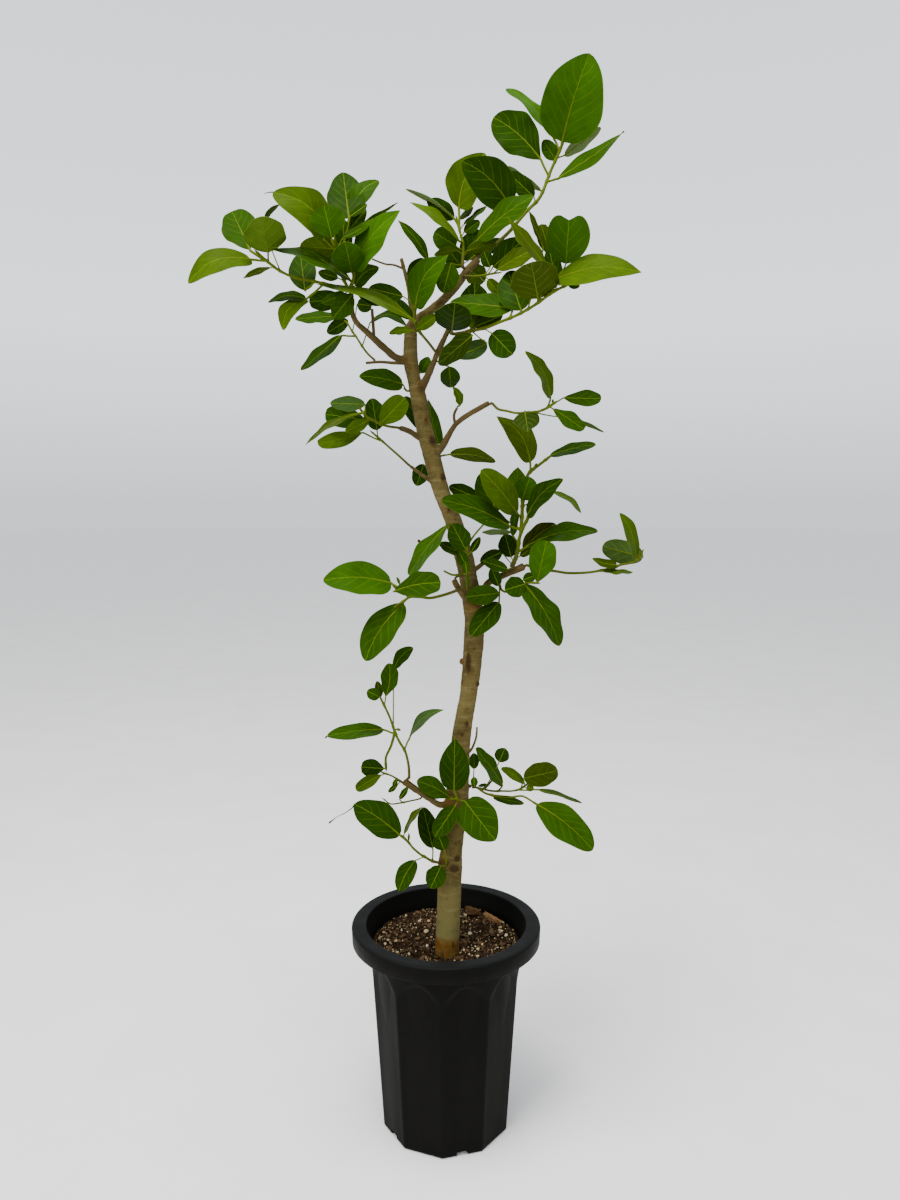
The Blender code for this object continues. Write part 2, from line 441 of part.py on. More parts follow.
          (Leaf((444, 850), (438, 834), 20, 1, 0, 0.2, 0),
           Leaf((441, 866), (430.5, 888.3), 25, 1, -4, 0.8, 0))),
)

CHIPS = (
    ("bark_chip_left", (473, 911, 64), (20, 8, 13), -12),
    ("bark_chip_right", (493, 914, 46), (30, 8, 10), -46),
)


def clear_scene():
    for thing in list(bpy.data.objects):
        bpy.data.objects.remove(thing, do_unlink=True)


def material(name, colour, roughness):
    made = bpy.data.materials.new(name)
    made.use_nodes = True
    shader = made.node_tree.nodes["Principled BSDF"]
    shader.inputs["Base Color"].default_value = (*colour, 1.0)
    shader.inputs["Roughness"].default_value = roughness
    shader.inputs["Metallic"].default_value = 0.0
    return made


def seen_at(u, v, depth):
    """The point seen at (u, v) that lies depth millimetres behind the pot's axis."""
    right = u - CENTRE_U
    up = CENTRE_V - v
    ray = Vector((right,
                  math.cos(PITCH_DOWN) * FOCAL + math.sin(PITCH_DOWN) * up,
                  -math.sin(PITCH_DOWN) * FOCAL + math.cos(PITCH_DOWN) * up))
    return EYE + ray * ((depth * MM - EYE.y) / ray.y)


def add_object(name, mesh, collection):
    thing = bpy.data.objects.new(name, mesh)
    collection.objects.link(thing)
    return thing


def mesh_from(bm, name):
    bmesh.ops.recalc_face_normals(bm, faces=bm.faces)
    mesh = bpy.data.meshes.new(name)
    bm.to_mesh(mesh)
    bm.free()
    return mesh


def evaluated_mesh(thing):
    depsgraph = bpy.context.evaluated_depsgraph_get()
    depsgraph.update()
    return bpy.data.meshes.new_from_object(thing.evaluated_get(depsgraph))


def apply_modifiers(thing):
    mesh = evaluated_mesh(thing)
    thing.modifiers.clear()
    thing.data = mesh


def tube(name, points, widths, sides, collection):
    """A closed tube through the points, as a mesh."""
    curve = bpy.data.curves.new(name, "CURVE")
    curve.dimensions = "3D"
    curve.resolution_u = 1
    curve.render_resolution_u = 0
    curve.bevel_depth = 1.0
    curve.bevel_resolution = (sides - 4) // 2
    curve.use_fill_caps = True
    spline = curve.splines.new("POLY")
    spline.points.add(len(points) - 1)
    for control, point, width in zip(spline.points, points, widths):
        control.co = (*point, 1.0)
        control.radius = width / 2
    thing = add_object(name, curve, collection)
    mesh = evaluated_mesh(thing)
    bpy.data.objects.remove(thing, do_unlink=True)
    bm = bmesh.new()
    bm.from_mesh(mesh)
    bmesh.ops.remove_doubles(bm, verts=bm.verts, dist=WELD)
    bmesh.ops.triangulate(bm, faces=bm.faces)
    return add_object(name, mesh_from(bm, name), collection)


def union(pieces, name, collection):
    """Joins the pieces into the first one by one Boolean union."""
    whole = pieces[0]
    others = bpy.data.collections.new("joining")
    bpy.context.scene.collection.children.link(others)
    for piece in pieces[1:]:
        collection.objects.unlink(piece)
        others.objects.link(piece)
    join = whole.modifiers.new("join", "BOOLEAN")
    join.operation = "UNION"
    join.operand_type = "COLLECTION"
    join.collection = others
    join.solver = "MANIFOLD"
    apply_modifiers(whole)
    bm = bmesh.new()
    bm.from_mesh(whole.data)
    bmesh.ops.dissolve_limit(bm, angle_limit=SAME_PLANE, verts=bm.verts, edges=bm.edges)
    bmesh.ops.triangulate(bm, faces=bm.faces)
    whole.data = mesh_from(bm, name)
    for piece in pieces[1:]:
        bpy.data.objects.remove(piece, do_unlink=True)
    bpy.data.collections.remove(others)
    whole.name = name
    return whole


def cut(thing, cutter):
    knife = thing.modifiers.new("cut", "BOOLEAN")
    knife.operation = "DIFFERENCE"
    knife.object = cutter
    apply_modifiers(thing)
    bpy.data.objects.remove(cutter, do_unlink=True)


# Pot

def facet_inset(angle, height):
    """How much of the radius a flat panel takes away, with the panel's arched top."""
    pitch = math.tau / POT_FACETS
    off_middle = (angle - FIRST_FACET + pitch / 2) % pitch - pitch / 2
    flat = 1 - math.cos(pitch / 2) / math.cos(off_middle)
    top = FACET_TOP + ARCH_RISE * math.cos(off_middle / pitch * math.pi)
    share = min(1.0, max(0.0, (top + ARCH_BLEND - height) / ARCH_BLEND))
    return flat * share


def add_pot(collection):
    skirt_foot = POT_HEIGHT - SKIRT_HEIGHT
    under_flange = POT_HEIGHT - WALL
    points = [(0.0, 0.0), (FOOT_RADIUS - FOOT_CHAMFER, 0.0)]
    points += [(FOOT_RADIUS + BODY_SLOPE * height, height) for height in BODY_HEIGHTS]
    points += [
        (OPENING_RADIUS - COLLAR_TAPER, COLLAR_HEIGHT),
        (OPENING_RADIUS + WALL, under_flange),
        (FLANGE_RADIUS - WALL, under_flange),
        (FLANGE_RADIUS - WALL - SKIRT_DRAFT, skirt_foot),
        (FLANGE_RADIUS - SKIRT_DRAFT, skirt_foot),
    ]
    points += [(FLANGE_RADIUS - inward, POT_HEIGHT - down) for inward, down in RIM_ROUNDING]
    points += [
        (OPENING_RADIUS, POT_HEIGHT),
        (OPENING_RADIUS - WALL - COLLAR_TAPER, COLLAR_HEIGHT),
        (INNER_NECK, NECK_HEIGHT),
        (INNER_FOOT, FLOOR),
        (0.0, FLOOR),
    ]
    bm = bmesh.new()
    previous = None
    for radius, height in points:
        vertex = bm.verts.new((radius, 0.0, height))
        if previous:
            bm.edges.new((previous, vertex))
        previous = vertex
    bmesh.ops.spin(bm, geom=bm.verts[:] + bm.edges[:], axis=(0, 0, 1), cent=(0, 0, 0), dvec=(0, 0, 0),
                   angle=math.tau, steps=POT_STEPS, use_merge=True)
    bmesh.ops.remove_doubles(bm, verts=bm.verts, dist=WELD)
    first_corner = FIRST_FACET + math.pi / POT_FACETS
    for vertex in bm.verts:
        x, y, z = vertex.co
        radius = math.hypot(x, y)
        from_front = math.atan2(y, x) + first_corner
        outside = FOOT_RADIUS + BODY_SLOPE * z - FOOT_CHAMFER - CLEAR
        if radius > outside and z < NECK_HEIGHT + CLEAR:
            radius *= 1 - facet_inset(from_front, z)
        vertex.co = (radius * math.sin(from_front), -radius * math.cos(from_front), z)
    pot = add_object("pot", mesh_from(bm, "pot"), collection)
    length = NOTCH_DEPTH + OVERSHOOT
    reach = FOOT_RADIUS * math.cos(math.pi / POT_FACETS) - NOTCH_DEPTH + length / 2
    for index in range(NOTCHES):
        from_front = FIRST_FACET + index * math.tau / NOTCHES
        bpy.ops.mesh.primitive_cube_add(size=1.0)
        notch = bpy.context.object
        notch.location = (reach * math.sin(from_front), -reach * math.cos(from_front),
                          (NOTCH_HEIGHT - OVERSHOOT) / 2)
        notch.scale = (NOTCH_WIDTH, length, NOTCH_HEIGHT + OVERSHOOT)
        notch.rotation_euler.z = from_front
        cut(pot, notch)
    pot.data.shade_smooth()
    pot.data.set_sharp_from_angle(angle=SHARP_PLASTIC)
    return pot


# Soil

def soil_height(x, y):
    """The height of the mounded, lumpy surface."""
    share = math.hypot(x, y) / NECK_RADIUS
    lumps = noise.noise(Vector((x, y, SOIL_SEED)) * SOIL_GRAIN) * SOIL_LUMPS
    return SOIL_EDGE + SOIL_MOUND * (1 - share * share) + lumps


def soil_radius(height):
    """The radius that leaves a clearance to the flats of the pot's inside."""
    share = (height - FLOOR) / (NECK_HEIGHT - FLOOR)
    inside = INNER_FOOT + (INNER_NECK - INNER_FOOT) * share
    return inside * math.cos(math.pi / POT_STEPS) - 2 * CLEAR


def add_soil(collection):
    bm = bmesh.new()
    bottom = FLOOR + CLEAR
    edge = soil_radius(SOIL_EDGE)
    bmesh.ops.create_circle(bm, cap_ends=False, segments=SOIL_STEPS, radius=edge)
    ring = bm.edges[:]
    for index in range(1, SOIL_RINGS):
        made = bmesh.ops.extrude_edge_only(bm, edges=ring)["geom"]
        ring = [part for part in made if isinstance(part, bmesh.types.BMEdge)]
        verts = [part for part in made if isinstance(part, bmesh.types.BMVert)]
        for vertex in verts:
            vertex.co *= (SOIL_RINGS - index) / (SOIL_RINGS - index + 1)
    made = bmesh.ops.extrude_edge_only(bm, edges=ring)["geom"]
    verts = [part for part in made if isinstance(part, bmesh.types.BMVert)]
    bmesh.ops.pointmerge(bm, verts=verts, merge_co=(0, 0, 0))
    for vertex in bm.verts:
        x, y, _ = vertex.co
        vertex.co.z = soil_height(x, y)
    border = [part for part in bm.edges if part.is_boundary]
    made = bmesh.ops.extrude_edge_only(bm, edges=border)["geom"]
    verts = [part for part in made if isinstance(part, bmesh.types.BMVert)]
    for vertex in verts:
        vertex.co *= soil_radius(bottom) / edge
        vertex.co.z = bottom
    bmesh.ops.contextual_create(bm, geom=[part for part in bm.edges if part.is_boundary])
    bmesh.ops.triangulate(bm, faces=bm.faces)
    soil = add_object("potting_soil", mesh_from(bm, "potting_soil"), collection)
    foot = seen_at(*TRUNK_FOOT)
    depth = ROOT_DEPTH + 2 * CLEAR + ABOVE_SOIL
    bpy.ops.mesh.primitive_cylinder_add(vertices=HOLE_SIDES, radius=HOLE_RADIUS, depth=depth)
    hole = bpy.context.object
    hole.location = (foot.x, foot.y, foot.z + ABOVE_SOIL - depth / 2)
    cut(soil, hole)
    soil.data.shade_smooth()
    return soil


# Wood

def add_trunk(collection):
    foot = seen_at(*TRUNK_FOOT)
    points = [foot - Vector((0, 0, depth)) for depth, _ in FOOT_PLACES]
    widths = [width for _, width in FOOT_PLACES]
    points += [seen_at(u, v, y) for u, v, y, _ in TRUNK]
    widths += [width * MM for *_, width in TRUNK]
    pieces = [tube("trunk", points, widths, TRUNK_SIDES, collection)]
    for branch in BRANCHES:
        points = [seen_at(u, v, y) for u, v, y, _ in branch.places]
        widths = [width * MM for *_, width in branch.places]
        sides = BRANCH_SIDES if widths[0] > SLIM_WOOD else TWIG_SIDES
        pieces.append(tube("branch", points, widths, sides, collection))
    trunk = union(pieces, "trunk", collection)
    trunk.data.shade_smooth()
    trunk.data.set_sharp_from_angle(angle=SHARP_BARK)
    return trunk


# Leaves

def root_on_stems(paths, foot):
    """The point on the stems that a leaf grows from, a little below the one seen nearest to its foot."""
    best = None
    for path in paths:
        passed = 0.0
        for start, end in zip(path, path[1:]):
            target = seen_at(*foot, start.y / MM)
            run = (end - start) * ACROSS_VIEW
            share = (target - start).dot(run) / max(run.length_squared, MM * MM)
            share = min(1 - STEM_END_SHARE, max(STEM_END_SHARE, share))
            place = start.lerp(end, share)
            away = (seen_at(*foot, place.y / MM) - place).length
            length = (end - start).length
            if best is None or away < best[0]:
                best = (away, path, passed + share * length)
            passed += length
    away, path, reach = best
    left = max(min(reach, LOWEST_ROOT), reach - PETIOLE_SLANT * away)
    for start, end in zip(path, path[1:]):
        length = (end - start).length
        if left <= length:
            return start.lerp(end, left / length)
        left -= length
    return path[-1]


def leaf_frame(paths, leaf):
    """Root on the stem, foot, axis to the tip, side of a leaf, the way its edges stand, its width and bow."""
    root = root_on_stems(paths, leaf.foot)
    depth = root.y / MM + leaf.back
    foot = seen_at(*leaf.foot, depth)
    flat_tip = seen_at(*leaf.tip, depth)
    seen_length = (flat_tip - foot).length
    seen_width = leaf.seen * MM
    leaning = abs(leaf.lean)
    length = max(seen_length * (1 + LEAN_SLACK * leaning), LONGEST_RATIO * seen_width * leaning)
    near = math.copysign(math.sqrt(max(0.0, length ** 2 - seen_length ** 2)), leaf.lean)
    tip = seen_at(*leaf.tip, depth - near / MM)
    axis = tip - foot
    view = (foot + axis / 2 - EYE).normalized()
    toward = (-view - axis * (-view.dot(axis)) / axis.length_squared).normalized()
    across = axis.cross(toward).normalized()
    width = min(BROADEST, max(seen_width, min(length / NATURAL_RATIO, seen_width * EDGE_ON)))
    turn = min(STEEPEST, math.acos(min(1.0, seen_width / width)))
    choices = [toward * math.cos(turn) + across * math.sin(turn) * way for way in (1, -1)]
    if abs(leaf.face) == 2:
        choices = [-choice for choice in choices]
    choices.sort(key=lambda choice: choice.dot(UPWARD))
    upper = choices[1] if leaf.face > 0 else choices[0]
    side = axis.cross(upper).normalized()
    proud = -view if upper.dot(toward) > 0 else view
    bend = across if across.dot(UPWARD) > 0 else -across
    return root, foot, axis, side, proud, width, bend * leaf.bow * axis.length


def half_width(share, form):
    """The blade's half width as a share of its greatest, from foot to tip."""
    shift, at_foot, at_tip, _ = form
    if not 0 < share < 1:
        return 0.0
    return math.sin(math.pi * share ** shift) ** (at_foot + (at_tip - at_foot) * share)


def petiole_side(run, side, upper):
    """The direction across the petiole, as near to the blade's side as it goes."""
    across = run.cross(upper)
    if across.length < END_ON * run.length:
        across = run.cross(side).cross(run)
    across.normalize()
    return across if across.dot(side) > 0 else -across


def blade(paths, leaf, collection):
    """One leaf: its petiole and its folded, arched blade as one thin solid."""
    root, foot, axis, side, proud, width, bend = leaf_frame(paths, leaf)
    flank = petiole_side(foot - root, side, side.cross(axis))
    cleft = leaf.form[-1]
    stations = LONG_STATIONS if axis.length > LONG_LEAF else STATIONS
    columns = 2 if axis.length > SHORT_LEAF else 1
    bm = bmesh.new()
    bmesh.ops.create_grid(bm, x_segments=columns, y_segments=len(stations), size=1.0)
    for vertex in bm.verts:
        across = round(vertex.co.x)
        row = round((vertex.co.y + 1) / 2 * len(stations))
        if row < 2:
            across = across or 1
        if row == 0:
            vertex.co = root + flank * across * PETIOLE * ROOT_SHARE
            continue
        if row == 1:
            vertex.co = foot + (flank + side).normalized() * across * PETIOLE / 2
            continue
        share = stations[row - 1]
        fullness = half_width(share, leaf.form)
        half = fullness * width / 2
        lift = math.sin(math.pi * share)
        along = share + cleft * share * share * fullness * abs(across)
        vertex.co = (foot + axis * along + bend * lift + side * half * across
                     + proud * (ARCH * axis.length * lift + FOLD * half * abs(across)))
    bmesh.ops.remove_doubles(bm, verts=bm.verts, dist=WELD)
    bmesh.ops.triangulate(bm, faces=bm.faces)
    mesh = bpy.data.meshes.new("leaf")
    bm.to_mesh(mesh)
    bm.free()
    made = add_object("leaf", mesh, collection)
    thick = made.modifiers.new("thickness", "SOLIDIFY")
    thick.thickness = BLADE
    thick.offset = 0.0
    apply_modifiers(made)
    bm = bmesh.new()
    bm.from_mesh(made.data)
    bmesh.ops.triangulate(bm, faces=bm.faces)
    made.data = mesh_from(bm, "leaf")
    return made


def stem_paths(shoot, wood):
    """The points of each stem. The first stem starts just off the wood that it grows from."""
    paths = [[seen_at(*place) for place in stem] for stem in shoot.stems]
    surface, normal, _, _ = wood.find_nearest(paths[0][0])
    paths[0][0:1] = [surface + normal * CLEAR, surface + normal * (CLEAR + shoot.stem * MM)]
    return paths


def shoot_pieces(shoot, wood, collection):
    paths = stem_paths(shoot, wood)
    pieces = []
    for path in paths:
        taper = STEM_TAPER / len(path)
        widths = [shoot.stem * MM * (1 - taper * step) for step in range(len(path))]
        pieces.append(tube("stem", path, widths, TWIG_SIDES, collection))
    return pieces + [blade(paths, leaf, collection) for leaf in shoot.leaves]


def add_chip(name, place, size, turn, collection):
    bm = bmesh.new()
    bmesh.ops.create_icosphere(bm, subdivisions=1, radius=0.5)
    spot = seen_at(*place)
    angle = math.radians(turn)
    for vertex in bm.verts:
        x, y, z = (part * length * MM for part, length in zip(vertex.co, size))
        x *= 1 + CHIP_ROUGHNESS * noise.noise(vertex.co * CHIP_GRAIN + spot * CHIP_SEED)
        vertex.co = (spot.x + x * math.cos(angle) - y * math.sin(angle),
                     spot.y + x * math.sin(angle) + y * math.cos(angle), z)
    rise = max(soil_height(*vertex.co.xy) - vertex.co.z for vertex in bm.verts if vertex.co.z < 0)
    for vertex in bm.verts:
        vertex.co.z += rise + SOIL_LUMPS / 2
    return add_object(name, mesh_from(bm, name), collection)


def main():
    clear_scene()
    collection = bpy.data.collections.new("potted_indian_banyan")
    bpy.context.scene.collection.children.link(collection)
    plastic = material("black_plastic", (0.012, 0.012, 0.011), 0.55)
    earth = material("potting_soil", (0.045, 0.028, 0.018), 0.95)
    bark = material("bark", (0.30, 0.24, 0.13), 0.8)
    chip = material("bark_chip", (0.22, 0.12, 0.06), 0.9)
    green = material("leaf", (0.07, 0.19, 0.01), 0.4)
    add_pot(collection).data.materials.append(plastic)
    add_soil(collection).data.materials.append(earth)
    for name, place, size, turn in CHIPS:
        add_chip(name, place, size, turn, collection).data.materials.append(chip)
    trunk = add_trunk(collection)
    trunk.data.materials.append(bark)
    wood = BVHTree.FromPolygons([vertex.co for vertex in trunk.data.vertices],
                                [face.vertices[:] for face in trunk.data.polygons])
    for shoot in SHOOTS:
        made = union(shoot_pieces(shoot, wood, collection), shoot.name, collection)
        made.data.materials.clear()
        made.data.materials.append(green)


if __name__ == "__main__":
    main()
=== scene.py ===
# Looks of the potted Indian banyan: fine leaves, stems, bark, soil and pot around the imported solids.
# Metres, +Z up. A place is (u, v, y), with u to the right and v down in a 900 by 1200 picture seen from the
# front, and y the depth behind the pot's axis in millimetres, as in the part's own source.

import math
import random
from collections import namedtuple

import bmesh
import bpy
from mathutils import Euler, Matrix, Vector, noise
from mathutils.bvhtree import BVHTree
from mathutils.kdtree import KDTree

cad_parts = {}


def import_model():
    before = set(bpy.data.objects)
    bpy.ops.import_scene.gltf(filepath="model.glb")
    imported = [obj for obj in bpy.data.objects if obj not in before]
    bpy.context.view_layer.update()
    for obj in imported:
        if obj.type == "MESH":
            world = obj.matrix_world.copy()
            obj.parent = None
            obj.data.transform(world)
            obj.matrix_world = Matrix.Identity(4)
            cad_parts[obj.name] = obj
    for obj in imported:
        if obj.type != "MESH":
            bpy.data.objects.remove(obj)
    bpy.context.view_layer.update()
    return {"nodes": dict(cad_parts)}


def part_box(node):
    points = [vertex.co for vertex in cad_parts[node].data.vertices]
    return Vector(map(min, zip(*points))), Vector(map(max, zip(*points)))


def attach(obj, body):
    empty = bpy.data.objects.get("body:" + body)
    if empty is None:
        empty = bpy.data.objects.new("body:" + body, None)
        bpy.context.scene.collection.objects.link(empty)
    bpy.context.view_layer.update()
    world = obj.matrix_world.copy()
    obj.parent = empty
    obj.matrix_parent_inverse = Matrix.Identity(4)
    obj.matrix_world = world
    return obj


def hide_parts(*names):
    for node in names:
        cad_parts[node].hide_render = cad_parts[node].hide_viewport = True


MM = 0.001

# The viewpoint that the places are seen from
EYE = Vector((0.005, -1.101, 0.795))
PITCH_DOWN = math.radians(6.1)
FOCAL = 901.0
CENTRE_U = 450.0
CENTRE_V = 600.0
PICTURE_HEIGHT = 1200.0
SENSOR = 36.0

# The pot, as in the part's source
POT_FACETS = 10
POT_HEIGHT = 0.265
FLANGE_RADIUS = 0.120
OPENING_RADIUS = 0.1015
SKIRT_HEIGHT = 0.0205
SKIRT_DRAFT = 0.0006
WALL = 0.0022
COLLAR_HEIGHT = 0.250
COLLAR_TAPER = 0.0015
NECK_RADIUS = 0.0975
NECK_HEIGHT = 0.240
INNER_NECK = 0.0948
FOOT_RADIUS = 0.082
FOOT_CHAMFER = 0.0015
INNER_FOOT = 0.0745
FLOOR = 0.003
BODY_SLOPE = (NECK_RADIUS - FOOT_RADIUS) / NECK_HEIGHT
FACET_TOP = 0.198
ARCH_RISE = 0.022
ARCH_BLEND = 0.010
FIRST_FACET = math.radians(-57.0)
NOTCHES = 5
NOTCH_WIDTH = 0.014
NOTCH_DEPTH = 0.010
NOTCH_HEIGHT = 0.0065
OVERSHOOT = 0.004
CLEAR = 0.3 * MM
WELD = 0.001 * MM

# The pot's finer mesh
POT_STEPS = 240
POT_RING = 3.0 * MM
LIP_RADIUS = 1.6 * MM
LIP_STEPS = 5
SKIRT_ROUNDING = 0.6 * MM
INNER_HEIGHT = 0.2
# Share of the chamfer and height of the foot's rounding, and how far in and down the flange dips
FOOT_ROUNDING = ((1, 0.0004), (0.4, 0.0014))
FLANGE_DIP = ((0.0085, 0.0), (0.0130, 0.0002))

# The soil
SOIL_EDGE = 0.2385
SOIL_MOUND = 0.004
SOIL_LUMPS = 0.0016
SOIL_GRAIN = 70.0
SOIL_SEED = 0.7
SOIL_RINGS = 56
SOIL_STEPS = 168
SOIL_BOTTOM = 0.16
SOIL_INSIDE = 1.2 * MM
CRUMB_HEIGHT = 1.3 * MM
# Scale and share of the coarse, the middling and the fine crumbs
CRUMBS = ((210, 1.6), (430, 0.8), (900, 0.4))
TRUNK_FOOT = (447, 957, -38)
FOOT_PLACES = ((0.060, 28 * MM), (0.020, 30 * MM), (-0.002, 30 * MM))

# Wood
SLIM_WOOD = 5.5 * MM
WOOD_STEP = 3.0 * MM
WOOD_SIDES = 28
BRANCH_SIDES = 16
TWIG_SIDES = 10
WOOD_VOXEL = 1.4 * MM
WOOD_SMOOTHING = 6
WOOD_EASE = 0.5
# Height and width of a knot along its tube, as shares
KNOT_FORM = ((0.0, 0.3), (0.15, 0.75), (0.5, 1.0), (0.85, 0.75), (1.0, 0.3))
STEM_TAPER = 0.3

# Leaves, as in the part's source
NATURAL_RATIO = 1.9
BROADEST = 77 * MM
EDGE_ON = 4.0
LONGEST_RATIO = 1.75
LEAN_SLACK = 0.105
STEEPEST = math.radians(80.0)
FOLD = 0.22
ARCH = 0.05
STEM_END_SHARE = 0.06
PETIOLE_SLANT = 0.9
LOWEST_ROOT = 5 * MM
UPWARD = Vector((0.35, 0.0, 1.0))
ACROSS_VIEW = Vector((1.0, 0.0, 1.0))

# The leaves' finer form
BLADE = 0.5 * MM
TIP_WIDTH = 0.25 * MM
CREASE = 0.14
RIB_DEPTH = 0.45 * MM
RIB_WIDTH = 1.3 * MM
RIB_FADE = 0.6
RIB_SEAT = 0.8
RIB_TAPER = 0.82
RIB_TAPER_POWER = 0.7
RIB_PLACES = (0.0, 0.06, 0.2, 0.4, 0.6, 0.8, 0.95)
VEIN_DEPTH = 0.30 * MM
VEIN_SLANT = (0.50, 0.30)
VEIN_CURVE = 1.15
VEIN_WIDTH = 0.13
VEIN_OFFSET = 0.35
VEIN_END = 6
VEIN_FULL_FROM = 8 * MM
FEWEST_VEINS = 4
ROWS_AT_ENDS, ROWS_EVEN = 0.55, 0.45
DROOP_POWER = 4
BLADE_SIZES = ((62 * MM, 26, 16), (38 * MM, 20, 12), (20 * MM, 14, 10), (0.0, 8, 6))
EDGE_WAVE = (0.015, 0.050)
EDGE_UNEVEN = (0.015, 0.045)
WAVE_COUNT = (1.2, 2.6)
TWIST = math.radians(10.0)
TIP_DROOP = (0.01, 0.05)
VEIN_SPACING = 15 * MM
TONE_SPREAD = 0.14
PETIOLE_WIDTH = (1.5 * MM, 3.2 * MM)
PETIOLE_SHARE = 0.040
PETIOLE_SAG = 0.04
PETIOLE_SIDES = 8
# Place along the petiole and thickness there, as shares
PETIOLE_FORM = ((0.0, 1.15), (0.25, 0.95), (0.5, 0.9), (0.75, 0.95))
STEM_STEP = 2.5 * MM
STEM_FULLNESS = 1.12
STEM_SIDES = 10
NODE_SWELL = 0.35
NODE_LENGTH = 2.2 * MM
BUD_LENGTH = 7.0 * MM
# Place along the bud and thickness there, as shares
BUD_FORM = ((0.25, 1.1), (0.6, 0.75), (1.0, 0.12))
LONGEST_BARE = 3
WOODY_SHARE = 0.35
SHARP = math.radians(48.0)
DRIP_WIDTH = 1.5 * MM
DRIP_TAPER = 0.65
DRY_END = 0.7
UPPER_SLOT, UNDER_SLOT, STEM_SLOT = range(3)
PLAIN_PLACE = (0.5, 0.5)
PLAIN_TONE = (0.0, 0.0, 1.0)

# Knots on the trunk: u, v, mm in front of its middle (negative), width and height in mm
KNOTS = (
    (421, 389, -5, 11, 12), (467, 725, -8, 9, 7), (463, 735, -8, 8, 6), (468, 660, -9, 10, 20),
    (454, 866, -10, 16, 14), (457, 858, -11, 9, 8), (419, 541, -6, 5, 5), (478, 684, -6, 6, 6),
    (474, 607, -8, 16, 12), (450, 802, -10, 16, 13), (443, 476, -7, 7, 6), (432, 440, -7, 9, 8),
)
# Stains on the wood: u, v, mm in front of the trunk's middle, half width and half height in mm, how dark, how
# orange, and how far its rim stands up, in mm
STAINS = (
    (421, 388, -9, 5, 7, 0.35, 0.4, 0.6), (468.3, 663, -12, 2.6, 11, 0.85, 0.2, 1.0),
    (461, 661, -13, 4, 6, 0.3, 0.7, 0.0), (467, 724, -12, 2.4, 3.6, 0.6, 0.4, 0.5),
    (462, 735, -12, 2.4, 2.6, 0.5, 0.4, 0.4), (454, 868, -14, 5.0, 4.6, 0.9, 0.3, 1.0),
    (457, 859, -14, 3.4, 3, 0.8, 0.3, 0.6), (441, 861, -14, 7, 7, 0.3, 0.7, 0.0),
    (475, 607, -11, 11, 9, 0.15, 0.6, 0.0), (449, 802, -14, 11, 9, 0.15, 0.7, 0.0),
    (453, 580, -24, 6, 6, 0.1, 0.9, 0.0), (524, 566, 3, 6, 6, 0.1, 0.8, 0.0),
    (432, 440, -9, 4, 6, 0.5, 0.3, 0.5), (443, 477, -9, 3, 5, 0.6, 0.3, 0.5),
    (406, 361, -6, 6, 7, 0.3, 0.4, 0.0), (404, 781, -27, 6, 6, 0.3, 0.6, 0.0),
    (478, 684, -9, 2.4, 4, 0.6, 0.3, 0.5), (419, 541, -9, 2.4, 3, 0.5, 0.3, 0.4),
    (462, 640, -12, 1.6, 2.4, 0.5, 0.3, 0.3),
    (471, 700, -11, 1.4, 2.4, 0.5, 0.3, 0.2), (459, 760, -12, 1.6, 2.2, 0.5, 0.3, 0.3),
    (426, 420, -9, 1.6, 2.4, 0.5, 0.3, 0.3), (449, 510, -10, 1.6, 2.8, 0.5, 0.3, 0.3),
    (441, 893, -15, 4, 6, 0.3, 0.8, 0.0),
)
RIM_TINT = 0.35
RIM_PLACE = 1.15
RIM_BREADTH = 0.32
STAIN_REACH = 3
SCAR_FULLNESS = 1.5
SCAR_DEPTH = 0.7
BARK_LUMP = 42.0
BARK_LUMP_HEIGHT = 0.7 * MM
BARK_CREASE = (60, 60, 260)
BARK_CREASE_HEIGHT = 0.35 * MM
BRANCH_BLEND = 6.0 * MM
CROWN_HEIGHT = 1.06
FOOT_STAIN = (0.022, 0.033)
FOOT_RAGGED = 0.006
FOOT_RAGGED_SCALE = 90
FOOT_ORANGE = (0.95, 0.5)
FOOT_ORANGE_SCALE = 150
FOOT_DARK = 0.7
FOOT_STREAKS = (420, 420, 60)
BROWN_FROM = (0.60, 0.80)
LEAST_BROWN = 0.25

# Grains on the soil
GRAIN_SEAT = 0.25
GRAIN_SEED = 11
GRAIN_TILT = 0.5
GRAIN_BRIGHTNESS = (0.7, 1.25)
GRAIN_ROUGHNESS = 0.45
GRAIN_ROUGH_SCALE = 2.2
GRAIN_OFFSET = 10
GRAIN_OFF_TRUNK = 0.4
LARGE_GRAIN_FORM = (0.8, 0.85)
DARK_CRUMBS = ((0.016, 0.009, 0.005), (0.026, 0.015, 0.007), (0.040, 0.023, 0.011))
BARK_CRUMBS = ((0.048, 0.026, 0.011), (0.075, 0.041, 0.017), (0.110, 0.063, 0.028), (0.032, 0.018, 0.008))
FIBRES = ((0.150, 0.098, 0.050), (0.200, 0.140, 0.075), (0.115, 0.070, 0.034))
PUMICE = ((0.520, 0.400, 0.210), (0.640, 0.530, 0.340), (0.360, 0.250, 0.120))
# How many, sizes in mm, flatness, slimness, tones and fineness
GRAINS = (
    (900, (1.4, 3.0), (0.6, 1.0), (0.6, 1.0), DARK_CRUMBS, 1),
    (420, (2.5, 6.0), (0.35, 0.8), (0.4, 0.9), BARK_CRUMBS, 2),
    (75, (6.0, 12.0), (0.22, 0.4), (0.35, 0.7), BARK_CRUMBS, 2),
    (260, (2.0, 5.5), (0.3, 0.6), (0.2, 0.45), FIBRES, 1),
    (320, (1.2, 2.6), (0.4, 0.9), (0.4, 0.9), FIBRES, 1),
    (520, (1.2, 2.9), (0.4, 0.9), (0.4, 0.9), PUMICE, 1),
    (26, (3.2, 5.4), (0.6, 0.95), (0.7, 1.0), PUMICE, 2),
)
